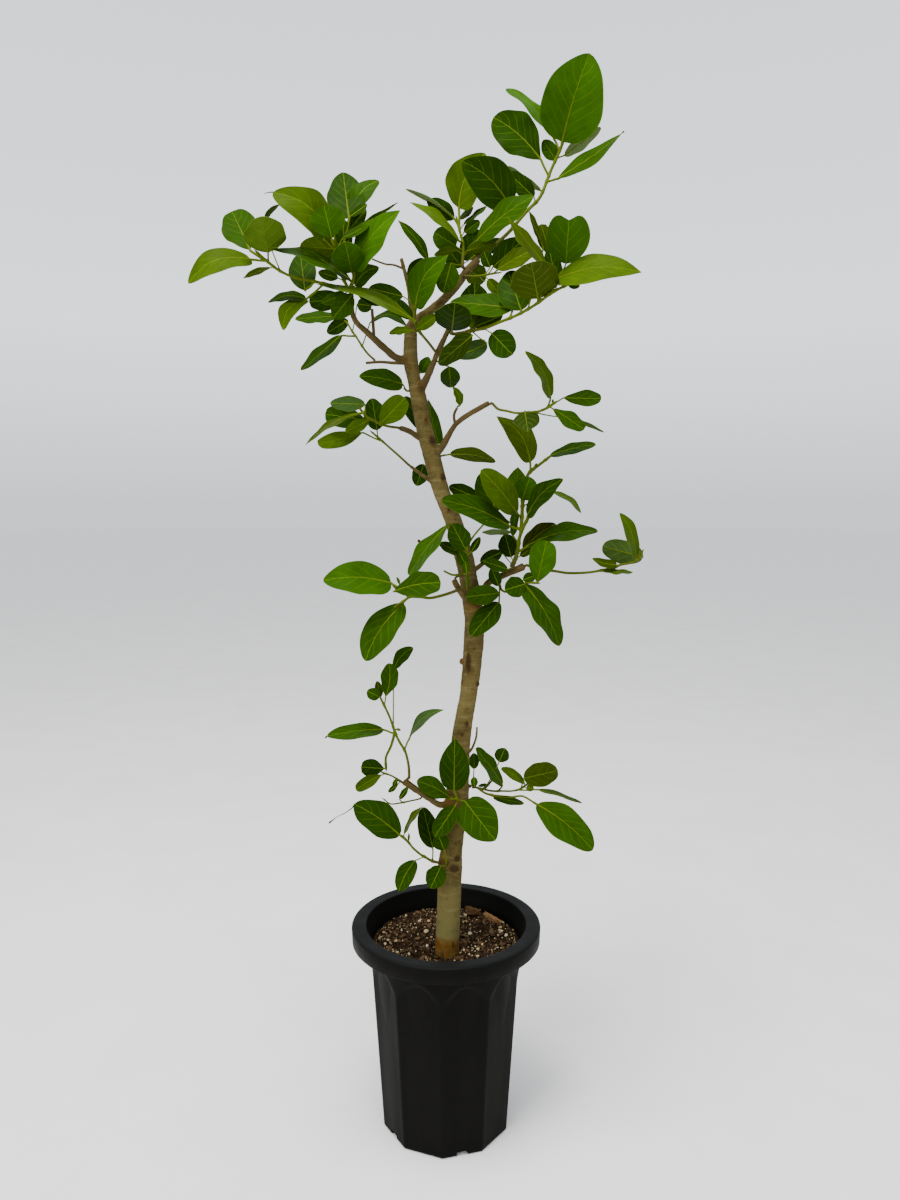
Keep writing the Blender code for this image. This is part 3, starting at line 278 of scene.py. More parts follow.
# Large pale grains: u, v and size in mm
LARGE_GRAINS = (
    (426, 932.5, 6.5), (470, 935, 6.0), (388, 941, 4.6), (396, 942, 4.4), (385, 945, 4.2), (506, 936, 5.0),
    (477, 921, 4.4), (384, 933, 4.0), (421, 921, 4.0), (499, 931, 4.2), (478, 950, 4.2), (397, 953, 4.0),
    (409, 955, 4.0), (464, 951, 4.0), (439, 925, 3.8),
)
# Bark flakes: how much they taper, how ragged and how layered they are, in shares, and scales of noise
FLAKE_TAPER = 0.6
FLAKE_RAGGED = 0.30
FLAKE_LAYERS = 0.35
FLAKE_FULLNESS = 1.25
FLAKE_THINNING = 0.8
FLAKE_CUTS = 15
FLAKE_SCALE = 5
FLAKE_LAYER_SCALE = (2, 1, 12)
FLAKE_OFFSET = 20
CHIP_SEED = 5

# Tones, linear. Those of leaves go by letter: bright, yellowish, middling, dark, darkest, olive, pale, greyish,
# brownish and lightest. They are partly each leaf's own green and partly painted light and shade: dark and
# darkest paint the shade on leaves in shadow, greyish paints a sheen, and lightest paints light on shaded leaves.
LEAF_TONES_LIT_AND_SHADED = {
    "b": (0.021, 0.066, 0.0), "y": (0.036, 0.070, 0.0), "m": (0.015, 0.044, 0.0),
    "d": (0.0100, 0.031, 0.0), "k": (0.007, 0.021, 0.0), "o": (0.026, 0.045, 0.0),
    "p": (0.075, 0.115, 0.040), "g": (0.025, 0.055, 0.010), "t": (0.024, 0.028, 0.003),
    "u": (0.054, 0.104, 0.005),
}
UNDER_TONE = (0.062, 0.094, 0.014)
UNDER_PALE = 0.2
PETIOLE_TONE = (0.085, 0.125, 0.004)
STEM_TONE = (0.070, 0.098, 0.004)
WOODY_TONE = (0.060, 0.046, 0.013)
STEM_STREAK = (0.045, 0.040, 0.008)
DRY_TONE = (0.045, 0.026, 0.010)
VEIN_LINE = 0.034
MIDRIB_EDGE = (0.33, 0.715)
MIDRIB_TAPER = 0.62
VEIN_FADE = (0.55, 0.95)
MARGIN = (0.955, 0.99)
RIB_SHARE, MARGIN_SHARE = 0.8, 0.25
NET_RELIEF = 0.3
MOTTLE = 0.16
NET_SCALE = 620.0
# Each side of a leaf: the tone and share of its veins, roughness, shine and relief of the veins
UPPER_LOOKS = ((0.105, 0.180, 0.003), 0.34, (0.45, 0.60), 0.018, -0.8)
UNDER_LOOKS = ((0.110, 0.170, 0.030), 0.55, (0.65, 0.78), 0.012, 0.8)
WOOD_SHINE, SOIL_SHINE, GRAIN_SHINE = 0.03, 0.05, 0.1
# The part of a noise's values that is stretched from none to all
WIDE, NARROW = (0.3, 0.7), (0.35, 0.65)
# Noises: scale, detail, roughness and stretch
MOTTLE_NOISE, GLOSS_NOISE = (55.0,), (120.0,)
STEM_STREAKS, STEM_GRAIN = (240.0, 4.0, 0.55, (1.0, 1.0, 0.35)), (500.0,)
BROAD_BARK, PATCHES, BANDS = (14.0, 5.0), (70.0, 6.0, 0.65), (26.0, 5.0, 0.6, (1.0, 1.0, 7.0))
STAIN_NOISE, TWIG_NOISE, FINE_BARK = (300.0, 4.0, 0.6), (90.0, 5.0), (420.0, 6.0, 0.7)
WRINKLES, CHIP_LAYERS = (120.0, 5.0, 0.6, (1.0, 1.0, 5.0)), (160.0, 6.0, 0.65, (1.0, 1.0, 5.0))
DUST_NOISE, SPECK_NOISE, PLASTIC_GRAIN = (60.0, 8.0, 0.7), (35.0, 2.0), (900.0, 3.0)
PLASTIC_STREAKS = (45.0, 6.0, 0.6, (1.0, 1.0, 0.06))
BROAD_SOIL, FINE_SOIL = (90.0, 6.0, 0.7), (500.0, 8.0, 0.75)
GRAIN_PATCHES, FINE_GRAIN, FLOOR_NOISE = (600.0, 5.0, 0.7), (1200.0, 5.0, 0.7), (6.0, 4.0)
# The values of a noise or of a direction between which its layer comes in
PATCH_RANGE, BAND_RANGE, DARK_FROM = (0.50, 0.62), (0.52, 0.68), (0.12, 0.5)
DUST_RANGE, SPECK_RANGE, UP_FACES_HIGHLIGHT = (0.42, 0.75), (0.56, 0.66), (0.2, 0.95)
GRAIN_PATCH_RANGE, FLOOR_RANGE = (0.35, 0.7, 0.0, 0.55), (0.4, 0.6)
# Specks: scale, and the shares of a cell within which they are full and beyond which there are none
LENTICELS, DUST_SPECKS, SOIL_BITS = (240.0, 0.10, 0.28), (260.0, 0.05, 0.13), (420.0, 0.12, 0.3)
# Reliefs: strength and depth
LEAF_RELIEF, STEM_RELIEF, BARK_RELIEF = (0.35, 0.4 * MM), (0.3, 0.4 * MM), (0.55, 0.7 * MM)
PLASTIC_RELIEF, SOIL_RELIEF = (0.12, 0.3 * MM), (0.9, 1.5 * MM)
GRAIN_RELIEF, CHIP_RELIEF = (0.6, 0.6 * MM), (0.9, 1.0 * MM)
STREAK_SHARE = 0.35
STEM_ROUGHNESS, SOIL_ROUGHNESS, CRUMB_ROUGHNESS = 0.55, 0.95, 0.9
BARK_ROUGHNESS, PLASTIC_ROUGHNESS = (0.78, 0.92), (0.50, 0.64)
BARK_TONES = ((0.098, 0.075, 0.024), (0.072, 0.054, 0.016), (0.034, 0.024, 0.007), (0.165, 0.136, 0.055),
              (0.190, 0.155, 0.070))
# The lower trunk's greenish grey, made lighter as painted light against the pot's shade, and the heights over which
# it fades out
FOOT_BARK_AND_LIGHT = (0.140, 0.130, 0.046)
FOOT_TINT_AND_LIGHT_REACH = (0.235, 0.36)
TWIG_TONES = ((0.078, 0.054, 0.021), (0.050, 0.033, 0.013))
ORANGE_BARK = (0.100, 0.043, 0.006)
DARK_BARK = (0.026, 0.016, 0.007)
# Black plastic: its plain tone, its dusty tone, and a lighter bluish tone that paints a highlight on faces turned up
PLASTIC_TONES_AND_HIGHLIGHT = ((0.0020, 0.0019, 0.0012), (0.0030, 0.0029, 0.0020), (0.0056, 0.0064, 0.0064))
DUST_TONE = (0.040, 0.034, 0.022)
SOIL_TONES = ((0.013, 0.007, 0.003), (0.028, 0.016, 0.007), (0.070, 0.042, 0.020))
CHIP_TONES = {"bark_chip_left": ((0.105, 0.055, 0.020), (0.045, 0.023, 0.009)),
              "bark_chip_right": ((0.230, 0.130, 0.052), (0.130, 0.066, 0.024))}
FLOOR_TONES = ((0.86, 0.85, 0.84), (0.89, 0.88, 0.87))
FLOOR_RADIUS = 30.0
FLOOR_ROUGHNESS, FLOOR_SHINE = 0.85, 0.2
SKY_TONE = (0.93, 0.96, 1.0)
SKY_STRENGTH = (1.95, 0.8)
HAZE_STRENGTH = (1.08, 1.95)
HAZE_HEIGHT = 0.24
# Lights: name, size, power, place, aim and colour
LIGHTS = (
    ("overhead", 1.3, 115.0, (-0.3, -0.7, 3.1), (0.0, 0.0, 0.8), (1.0, 0.98, 0.95)),
    ("front", 1.4, 45.0, (-1.8, -2.2, 1.8), (0.0, 0.0, 0.7), (0.97, 0.98, 1.0)),
)

# Long thin tips, by shoot and leaf: where they are seen, and whether their end is dry
DRIPS = {
    ("shoot_lowest_left", 0): (((352, 808), (345, 813), (337, 817), (329, 823)), True),
    ("shoot_top_left", 9): (((268, 192.5), (264, 193.5)), False),
    ("shoot_low_left", 4): (((325.4, 738),), True),
    ("shoot_top_right", 4): (((624, 131.5),), True),
}

# stem: its thickness, in mm. tones: the letter of each leaf's tone, which is partly painted light and shade
Shoot = namedtuple("Shoot", "name stem tones stems leaves")
# A form: the power that moves the broadest place to the tip, how slowly the blade broadens at the foot and
# narrows at the tip, and how far its edges reach past the tip, as a share of the length
OVAL = (0.95, 0.56, 0.56, 0.0)
EGG = (0.78, 0.50, 0.62, 0.0)
SPOON = (1.25, 0.80, 0.50, 0.0)
BLUNT = (1.30, 0.75, 0.34, 0.0)
ROUND = (1.0, 0.42, 0.42, 0.0)
POINTED = (0.78, 0.52, 0.95, 0.0)
LANCE = (0.95, 0.80, 1.15, 0.0)
HEART = (1.05, 0.60, 0.40, 0.36)
# foot and tip: (u, v). seen: the width that faces the viewer, in mm. face: 1 shows the upper side and
# turns it to the sky, -1 shows it and turns it down, 2 and -2 show the underside likewise. back: mm from the
# stem away from the viewer. lean: how far the tip comes towards the viewer, from -1 to 1. bow: how far the
# middle is bent up, as a share of the length.
Leaf = namedtuple("Leaf", "foot tip seen face back lean bow form", defaults=(0, 0, 0, OVAL))

TRUNK = (
    (449, 900, -37, 29.0), (450, 868, -36, 29.5), (452, 845, -35, 27.0), (455, 815, -34, 26.5),
    (457, 797, -33, 28.5), (459, 770, -32, 24.5), (461, 740, -30, 23.0), (464, 720, -29, 22.0),
    (467.5, 700, -27, 21.5), (470.5, 680, -25, 22.0), (472.5, 660, -23, 24.0), (473.8, 640, -21, 24.5),
    (474, 620, -19, 23.8), (472.5, 602, -17, 24.0), (468.5, 580, -15, 22.5), (464.8, 560, -13, 23.0),
    (459, 540, -12, 21.5), (453, 520, -11, 21.0), (444.6, 500, -10, 19.5), (438, 480, -9, 20.5),
    (431.5, 455, -8, 20.5), (424.5, 430, -7, 20.0), (419, 400, -5, 19.5), (414, 380, -4, 16.5),
    (410.8, 360, -3, 18.0), (410.5, 342, -2, 16.5), (412.0, 326, 0, 14.5), (420, 318, 2, 11.5),
    (431, 310, 4, 10.5), (445, 298, 6, 10.5), (457, 285, 8, 10.0), (468, 270, 10, 10.0), (478, 259, 12, 9.5),
)

BRANCHES = (
    # Upper left branch, its stub and the twig below it
    ((406, 360, -3, 9.0), (395, 357, -10, 9.0), (384.5, 348, -19, 8.6), (374.5, 339, -28, 8.2),
     (364.5, 330, -37, 7.6), (356.5, 322.5, -45, 7.0), (352, 312, -52, 6.4), (352, 300, -58, 5.6)),
    ((374, 338, -29, 3.8), (373, 322, -27, 3.8), (372, 309, -26, 3.6)),
    ((407, 363, -3, 5.0), (395, 363, 3, 4.2), (380, 362, 8, 3.6), (366, 363, 12, 3.4)),
    # Upper right branch from the knot
    ((417, 388, -4, 10.0), (422, 386, -12, 9.5), (430, 371, -18, 8.0), (437, 354, -24, 7.5),
     (444, 339, -30, 7.0), (450, 327, -36, 6.6)),
    # Stubs of the crown
    ((445, 299, 6, 4.5), (446, 292, 4, 4.2), (445, 285, 3, 4.0)),
    ((413, 324, 1, 7.0), (411, 305, 8, 6.0), (408, 285, 12, 5.5), (404, 269, 14, 5.0),
     (401, 258, 15, 4.8)),
    ((404, 269, 14, 3.0), (394, 265, 14, 2.6), (385, 264, 15, 2.4), (372, 259, 15, 2.2)),
    # Long right branch and its stub
    ((435, 456, -8, 8.5), (442, 447, -13, 8.0), (450, 433, -19, 7.2), (456, 424, -24, 7.0),
     (466, 416, -31, 6.6), (478, 409, -38, 6.2), (489, 403, -45, 6.4)),
    ((455, 424, -23, 3.4), (454, 415, -23, 3.4), (457, 408, -22, 3.2)),
    # Left stubs of the middle
    ((425, 441, -7, 8.0), (417, 436, -18, 7.6), (409, 431, -28, 7.2), (400, 428, -38, 7.0)),
    ((436, 484, -9, 6.5), (428, 479, -16, 5.6), (418, 472, -20, 5.0), (410, 466, -24, 4.6)),
    # The stub that stands to the left of the lower joint
    ((472, 607, -19, 9.0), (465, 598, -31, 8.2), (458, 588, -37, 7.8), (454, 580, -41, 7.6)),
    # Right branch of the lower joint
    ((474, 606, -17, 10.0), (482, 595, -8, 9.0), (488, 583, -5, 9.0), (497, 578, -6, 9.0),
     (508, 573, -9, 9.0), (516, 570, -12, 9.4), (524, 566, -15, 9.4)),
    ((469, 573, -14, 7.5), (477, 568, -6, 6.4), (485, 562, -1, 5.6)),
    # Knob at the left of the trunk
    ((468, 664, -25, 9.0), (461, 661, -34, 8.0)),
    # Lower left branch, the seat of the lower right shoot, a dry twig and the lowest knot
    ((457, 806, -34, 11.0), (448, 804, -45, 9.4), (440, 805, -49, 8.4), (430, 799, -53, 7.8),
     (421, 793, -56, 7.6), (412, 787, -59, 8.4), (404, 781, -61, 10.0)),
    ((460, 791, -32, 8.0), (468, 786, -28, 5.0), (472, 786, -27, 4.0)),
    ((463, 757, -31, 4.0), (471, 750, -28, 3.2), (476, 738, -25, 2.8), (477, 727, -23, 2.2)),
    ((448, 864, -37, 13.0), (441, 860, -47, 10.0)),
)

SHOOTS = (
    Shoot("shoot_top_left", 3.4, "ymuogddydydmdddbbygbbmmmbmmmd", (
        ((352, 299, -59), (349, 290, -61), (340, 287, -63), (326, 284, -67), (312, 281, -70), (296, 278, -74),
         (280, 271, -78), (268, 262, -81), (259, 254, -84)),
        ((349, 290, -61), (342, 276, -72), (337, 262, -82), (335, 241, -96)),
        ((349, 290, -61), (353, 281, -64), (354, 271, -67)),
    ), (
        Leaf((251, 259), (188, 283), 24, 1, -4, 0.4, 0.16, EGG),
        Leaf((250, 250), (232, 211), 40, 1, 0, -1, 0, BLUNT), Leaf((268, 252), (262, 216), 45, 2, 0, 0.8),
        Leaf((271, 267), (243, 278), 7, 2, 8, 0, 0.04, LANCE),
        Leaf((264, 226), (280, 204), 6, 2, 16, 0, 0.14, LANCE), Leaf((305, 290), (300, 253), 31, 1, 6, -1),
        Leaf((306, 298), (268, 302), 10, 1, 0, 0, 0.11, EGG),
        Leaf((306, 299), (283, 330), 18, 1, -4, 0.6, 0.19, EGG),
        Leaf((346, 298), (309, 302), 23, 1, 14, 0, 0, BLUNT), Leaf((331, 239), (273, 192), 37, 1, 6, 0.2, 0.155),
        Leaf((349, 218), (343, 172), 43, 1, 8, -1, 0, EGG), Leaf((352, 215), (378, 180), 22, 1, 22, -0.6, 0.13),
        Leaf((350, 216), (367, 204), 8, 1), Leaf((350, 229), (366, 209), 14, 1, 12),
        Leaf((353, 231), (398, 202), 5, 2, 4, 0, 0, LANCE), Leaf((332, 239), (324, 206), 38, 1, -4, 0.5, 0, SPOON),
        Leaf((325, 240), (308, 224), 10, 2, -4), Leaf((342, 250), (300, 246), 26, 2, 8),
        Leaf((325, 258), (300, 247), 12, 1, 14), Leaf((354, 268), (400, 210), 29, 1, -6, 0.7, 0.08, POINTED),
        Leaf((352, 273), (345, 242), 35, 1, -8, 0.8), Leaf((352, 281), (270, 249), 15, 1, -8, 0.2, 0.105, LANCE),
        Leaf((338, 278), (318, 272), 12, 1), Leaf((355, 286), (379, 267), 19, 1, 8, 0, 0.14, EGG),
        Leaf((345, 293), (322, 303), 12, 1, -4), Leaf((343, 237), (372, 220), 9, 1, 6, 0, -0.04),
        Leaf((344, 252), (343, 219), 20, 1, 12), Leaf((352, 295), (333, 318), 24, 1, -6),
        Leaf((356, 289), (385, 304), 16, 1, -4),
    )),
    Shoot("shoot_upper_left", 2.8, "mdddd", (
        ((374, 362, 10), (368, 354, 17), (362, 346, 25), (357, 338, 32), (352, 331, 38), (347, 323, 45),
         (340, 317, 52)),
    ), (
        Leaf((338, 316), (295, 319), 14, 1, 0, 0.3, 0.01), Leaf((348, 320), (327, 333), 18, 1, 4),
        Leaf((341, 335), (301, 370), 15, 1, 0, 0.4), Leaf((370, 322), (407, 326), 10, 1, 0, 0, 0.26),
        Leaf((357, 304), (372, 306), 18, 1, 4, 0, 0, ROUND),
    )),
    Shoot("leaf_on_trunk_left", 2.4, "m", (
        ((408, 391, -6), (404, 388, -8)),
    ), (
        Leaf((403, 384), (359, 376), 23, 1, 0, 0.6, 0.04, EGG),
    )),
    Shoot("shoot_top_centre", 3.2, "byyydmdd", (
        ((437, 352, -27), (428, 342, -30), (419, 331, -33), (415, 322, -35), (415, 312, -38), (411, 298, -41),
         (409, 284, -44)),
    ), (
        Leaf((415, 307), (448, 255), 33, 1, -6, 0.7, 0.14, POINTED),
        Leaf((414, 320), (317, 284), 12, 1, -48, 0, 0.075, LANCE), Leaf((417, 329), (437, 315), 14, 1, -6),
        Leaf((412, 330), (389, 333), 9, 1, -6, 0, 0.06), Leaf((429, 261), (398, 220), 13, 1, 0, 0.3, 0.06, LANCE),
        Leaf((409, 278), (425, 259), 19, 1, 8, -0.4), Leaf((403, 296), (369, 288), 18, 1, 0, 0.5),
        Leaf((412, 319), (393, 299), 16, 1, 4),
    )),
    Shoot("leaf_on_branch", 1.8, "d", (
        ((436, 361, -21), (440, 362, -24)),
    ), (
        Leaf((449, 367), (451, 388), 24, 1, 0, -1),
    )),
    Shoot("shoot_right_long", 3.6, "dobydooodkykmkgkd", (
        ((451, 333, -35), (460, 333, -39), (470, 331, -44), (485, 328, -50), (500, 322, -58), (515, 316, -65),
         (530, 308, -72), (542, 300, -79), (553, 292, -85), (567, 285, -92)),
    ), (
        Leaf((521, 310), (508, 271), 40, 1, 8, -0.8), Leaf((538, 298), (531, 262), 53, 2, 0, 0.8, 0, ROUND),
        Leaf((566, 264), (569, 220), 47, 1, 0, 0.6, 0, HEART),
        Leaf((556, 279), (641.5, 272), 29, 1, 0, 0.5, 0.095, POINTED), Leaf((568, 284), (580, 286), 9, 1),
        Leaf((551, 257), (541, 224), 18, 1, 22, 0, 0, BLUNT), Leaf((548, 268), (508, 217), 14, 1, -8, 0, 0, LANCE),
        Leaf((544, 247), (529, 210), 7, 2, 6, 0, 0, LANCE),
        Leaf((491.5, 333), (512.4, 354.7), 30, 1, 0, 0.6, 0, ROUND), Leaf((475, 327), (503, 315), 15, -1, 12),
        Leaf((471, 329), (480, 308), 16, 2, 10), Leaf((452, 331), (455, 303), 42, 1, -8, 1),
        Leaf((513, 308), (450, 302), 25, 1, 12, -0.3, 0.01), Leaf((472, 335), (438, 364), 23, 2, -12, 0.4),
        Leaf((487, 343), (453, 356), 20, 1, 6, 0, -0.04, EGG), Leaf((474, 322), (475, 283), 36, 1, 24),
        Leaf((557, 284), (549, 248), 20, 1, 14),
    )),
    Shoot("shoot_top_middle", 3.2, "pdymympdmyydmmm", (
        ((464, 268, 6), (463, 256, 11), (463, 245, 15), (460, 232, 21), (457, 220, 26)),
    ), (
        Leaf((453, 216), (406, 189), 5, 2, 0, 0, 0.04), Leaf((454, 219), (427, 200), 20, 1, 8, 0, 0.05),
        Leaf((460, 241), (410, 202), 11, 1, -10, 0.3, 0.085, LANCE),
        Leaf((456, 246), (434, 232), 27, 1, 9, 0, 0, ROUND), Leaf((459, 208), (485, 153), 44, 1, 5, -0.3, 0.11, EGG),
        Leaf((478, 239), (533, 196), 26, 1, -8.6, 0.6, 0.045), Leaf((460, 219), (473, 207), 8, 2, 8),
        Leaf((463.5, 224), (486, 206), 6, 1, 14), Leaf((464, 232), (480, 221), 14, 1, 8),
        Leaf((457, 249.5), (434, 255), 9, 2, -2, 0, 0.05), Leaf((467, 250.5), (496, 243), 17, 2, -8),
        Leaf((478, 252), (505, 240), 16, 1, 20), Leaf((451, 263), (443, 293), 28, 1, -16),
        Leaf((463, 260), (480, 230), 27, 1, 24), Leaf((462, 267), (445, 246), 23, 1, 24),
    )),
    Shoot("shoot_top_right", 4.4, "bdbpmbpdd", (
        ((478, 258, 12), (487, 251, 16), (495, 245, 20), (510, 231, 28), (520, 219, 34), (528, 210, 38),
         (538, 200, 43), (543, 191, 47), (548, 178, 53), (552, 168, 57), (557, 157, 61), (562, 145, 66)),
    ), (
        Leaf((562, 142), (589.5, 53), 76, 1, 0, 0.5, -0.02, EGG),
        Leaf((541, 160), (493.5, 117), 48, 1, 0, -0.7, 0.05, SPOON),
        Leaf((556, 141), (509, 88), 15, 1, 10, -0.2, 0.07, BLUNT), Leaf((564, 155), (601, 128), 16, 2, 18),
        Leaf((558, 178), (622, 133), 17, 1, -8, 0.2, -0.02, LANCE), Leaf((556, 160), (543, 140), 19, 1, 12),
        Leaf((541, 190), (508, 166), 9, 2, 6, 0, -0.03, EGG),
        Leaf((510, 206), (462.5, 161), 49, 1, -10, 0.6, 0.085, EGG), Leaf((534, 197), (508, 172), 22, 1, -2),
    )),
    Shoot("shoot_right_twig", 2.4, "ddoyy", (
        ((465, 276, 0), (480, 276, -7), (490, 274, -11), (497, 273, -14)),
    ), (
        Leaf((493, 267), (524, 239), 30, 1), Leaf((490, 267), (484, 252), 16, 1, 4),
        Leaf((498, 269), (540, 247), 19, 1, -14, 0.3, 0.03), Leaf((488, 279), (499, 294), 14, 1, -4),
        Leaf((485, 281), (467, 268), 26, 1, 36, 0, 0, ROUND),
    )),
    Shoot("shoot_right", 3.0, "ymmgkm", (
        ((490, 404, -46), (498, 409, -50), (507, 411, -54), (517, 413, -59), (535, 412, -67), (545, 409, -72),
         (553, 404, -76)),
    ), (
        Leaf((551, 397.5), (525.4, 351), 15, 1, 0, 0.2, 0.11, EGG),
        Leaf((563, 397.5), (601.3, 398.5), 17.5, 1, 0, 0.3, 0, BLUNT),
        Leaf((552.5, 408), (584, 429.5), 17, 1, -2, 0.4, 0.01, BLUNT), Leaf((572, 417), (604, 432), 4, 2, 12),
        Leaf((525, 412), (528, 432), 30, 2, 0, 1, 0, POINTED), Leaf((553, 404), (553, 399), 2.5, 1),
    )),
    Shoot("leaf_on_stub", 1.8, "y", (
        ((457.5, 407, -23), (459, 406, -25)),
    ), (
        Leaf((461, 405), (452.5, 386), 10, 1, 0, 0.3, 0.09, POINTED),
    )),
    Shoot("leaf_on_trunk_right", 2.2, "o", (
        ((441, 456, -10), (446, 455, -10)),
    ), (
        Leaf((450, 454), (495.8, 461.2), 16, 2, 0, 0.2, 0.07),
    )),
    Shoot("shoot_middle_left", 3.0, "gymoy", (
        ((399, 428, -39), (392, 427, -45), (383, 425, -52), (375, 421, -59), (367, 417, -67), (361, 410, -74)),
    ), (
        Leaf((365, 404), (330, 403), 17, 1, 4), Leaf((379, 425), (405, 398), 27, 1, -2, 0.5, 0, BLUNT),
        Leaf((366, 420), (325, 414), 26, 1, 6, -0.2, 0, BLUNT),
        Leaf((363, 412), (305, 445), 7, 1, -14, 0.2, 0.085, LANCE), Leaf((369, 420), (345, 432), 14, 1, 2),
    )),
    Shoot("shoot_middle_left_low", 2.8, "yd", (
        ((409, 465, -25), (398, 455, -28), (390, 448, -30), (381, 440, -32), (374, 434, -34)),
    ), (
        Leaf((363, 432), (318, 444.5), 18, 1, -6, 0.5, -0.01, BLUNT), Leaf((377, 430), (372, 398), 26, 1, 17, -0.6),
    )),
    Shoot("leaf_behind_twig", 1.8, "d", (
        ((429, 470, 0), (426, 467, 4)),
    ), (
        Leaf((423.5, 464), (416.5, 486), 20, 1, 2.5),
    )),
    Shoot("shoot_behind_trunk", 2.4, "md", (
        ((433, 449, 4), (433, 446, 11), (430, 436, 34)),
    ), (
        Leaf((439, 444), (428.5, 399), 18, 1, 9, -0.2, -0.02, POINTED), Leaf((424, 431), (405, 396), 20, 1),
    )),
    Shoot("leaf_on_trunk_top", 2.0, "b", (
        ((418, 372, 2), (420, 373, 7)),
    ), (
        Leaf((421, 373), (429, 357), 15, 1, 2),
    )),
    Shoot("shoot_centre", 4.4, "odmkdybbdydmpkktmom", (
        ((514, 568, -14), (515, 560, -17), (518, 549, -21), (519, 540, -25), (521, 533, -28), (524, 526, -31),
         (528, 518, -34)),
        ((521, 533, -28), (522, 515, -13), (523, 498, 2), (526, 480, 17), (530, 472, 25), (539, 465, 34),
         (548, 458, 44)),
    ), (
        Leaf((530.5, 462), (496.5, 416), 30, 1, 0, -0.3, 0.14, POINTED),
        Leaf((549.5, 455.6), (596, 444), 13.5, 1, 0, 0.2, 0.035), Leaf((534, 467), (537, 463), 2.5, 1),
        Leaf((478, 498), (449, 486), 19, 1, 26), Leaf((497, 512), (480, 473.5), 31, 1, 14, -0.6),
        Leaf((517, 513), (481, 470), 32, 1, -10, 0.7, 0.03), Leaf((516, 492), (518, 467), 24, 2, 14, 0, 0, POINTED),
        Leaf((522, 500), (530, 477), 30, 1, -2, 0.6), Leaf((527, 515.5), (563, 479), 21, 1, -6, 0.6, 0.10, EGG),
        Leaf((551.5, 491.5), (581.3, 512.5), 7, 1, 10, 0, 0.12),
        Leaf((510, 526), (441.3, 500), 27, 1, -8, 0.5, 0.055), Leaf((513, 536), (516, 508), 10, 1, -2),
        Leaf((511, 532), (482, 532), 7, 2, 8), Leaf((511, 557), (505, 534), 24, 1, 4, -0.6),
        Leaf((502, 552), (480, 562), 17, 1, 5), Leaf((523, 549), (556, 524), 22, -1, 4, 0, 0.05),
        Leaf((528, 545), (598, 531), 20, 1, 0, 0.4, 0.085), Leaf((520, 556), (531, 549), 10, 1, 4),
        Leaf((508, 569), (483, 561), 14, 1, -20, 0.3),
    )),
    Shoot("shoot_lower_centre", 2.8, "bmmdddm", (
        ((499, 583, -10), (501, 589, -17), (506, 592, -23), (513, 589, -31), (520, 585, -39), (528, 583, -48),
         (536, 583, -56)),
    ), (
        Leaf((537, 583), (546.5, 541), 32, 1, -4, 0.8, 0, BLUNT),
        Leaf((524.5, 584), (559.5, 646), 29, 1, -4, 0.6, 0.06), Leaf((499, 593), (466, 597), 24, 1, -14, 0.6),
        Leaf((499, 602), (471, 636), 27, 1, -12, 0.8), Leaf((499, 586), (491, 568), 15, 1, -8),
        Leaf((525, 584), (505, 590), 25, 1, -14, 0.6), Leaf((523, 580), (536, 575), 13, 1),
    )),
    Shoot("shoot_on_stub", 2.6, "mdmkdmy", (
        ((456, 580, -44), (461, 574, -46), (466, 568, -48), (467, 558, -51), (467, 548, -54), (471, 540, -56),
         (476, 533, -59), (484, 524, -62)),
        ((461, 574, -46), (453, 575, -52), (444, 571, -60)),
    ), (
        Leaf((449.3, 523.3), (409, 575.5), 19, 1, -4, 0.2, 0.05, SPOON), Leaf((466, 550), (452, 524), 26, 1, 0, 0.5),
        Leaf((462, 553), (439, 543), 13, 1, 3), Leaf((471, 552), (480, 537), 9, 1, -2),
        Leaf((466, 566), (459, 551), 14, 1, -4), Leaf((467, 573), (465, 561), 10, 1, -8),
        Leaf((467, 571), (468, 590), 3.5, 1, -2),
    )),
    Shoot("shoot_lower_left", 3.6, "bmmm", (
        ((456, 590, -43), (450, 593, -48), (440, 596, -57), (430, 598, -65), (420, 597, -73), (410, 597, -81),
         (404, 601, -86), (398, 605, -92)),
        ((410, 597, -81), (400, 590, -85), (393, 585, -88)),
    ), (
        Leaf((391.5, 583), (323, 580.2), 37, 1, 0, 0.5, 0.065, EGG),
        Leaf((393.3, 591.3), (440.7, 582.7), 28, 1, -14, 0.5, 0.05, BLUNT),
        Leaf((403, 603.5), (365, 660.7), 35, 1, 0, 0.6, 0.07), Leaf((400, 584), (397, 577), 3, 1),
    )),
    Shoot("shoot_far_right", 3.2, "ygoy", (
        ((525, 566, -16), (535, 568, -20), (545, 570, -24), (554, 571, -28), (567, 573, -33), (580, 573, -38),
         (592, 572, -43), (603, 570, -47), (613, 568, -51), (620, 565, -54), (630, 563, -58), (637, 560, -61),
         (641, 554, -64)),
    ), (
        Leaf((636.5, 558), (620, 513), 14, 1, -8, 0.3, 0.08, EGG),
        Leaf((643, 557), (602.2, 546.5), 28, 2, 10, 0, 0, ROUND),
        Leaf((617, 564.5), (592.3, 558.3), 10, 1, 0, 0, -0.06, EGG), Leaf((603, 571), (633, 572), 6, 1, -6, 0, 0.01),
    )),
    Shoot("shoot_low_left", 3.2, "mmmomgdd", (
        ((410, 777, -64), (409, 770, -67), (408, 762, -70), (405, 751, -74), (399, 741, -79), (395, 732, -83),
         (390, 718, -89), (386, 709, -92), (382, 701, -96)),
        ((395, 732, -83), (391, 746, -75), (386, 757, -69), (386, 767, -64)),
    ), (
        Leaf((393.5, 668.4), (412.7, 647.2), 15, 1, 6, 0, 0.09),
        Leaf((385.8, 697.3), (389.5, 663.3), 20, 1, -4, 0.3, 0.055, SPOON),
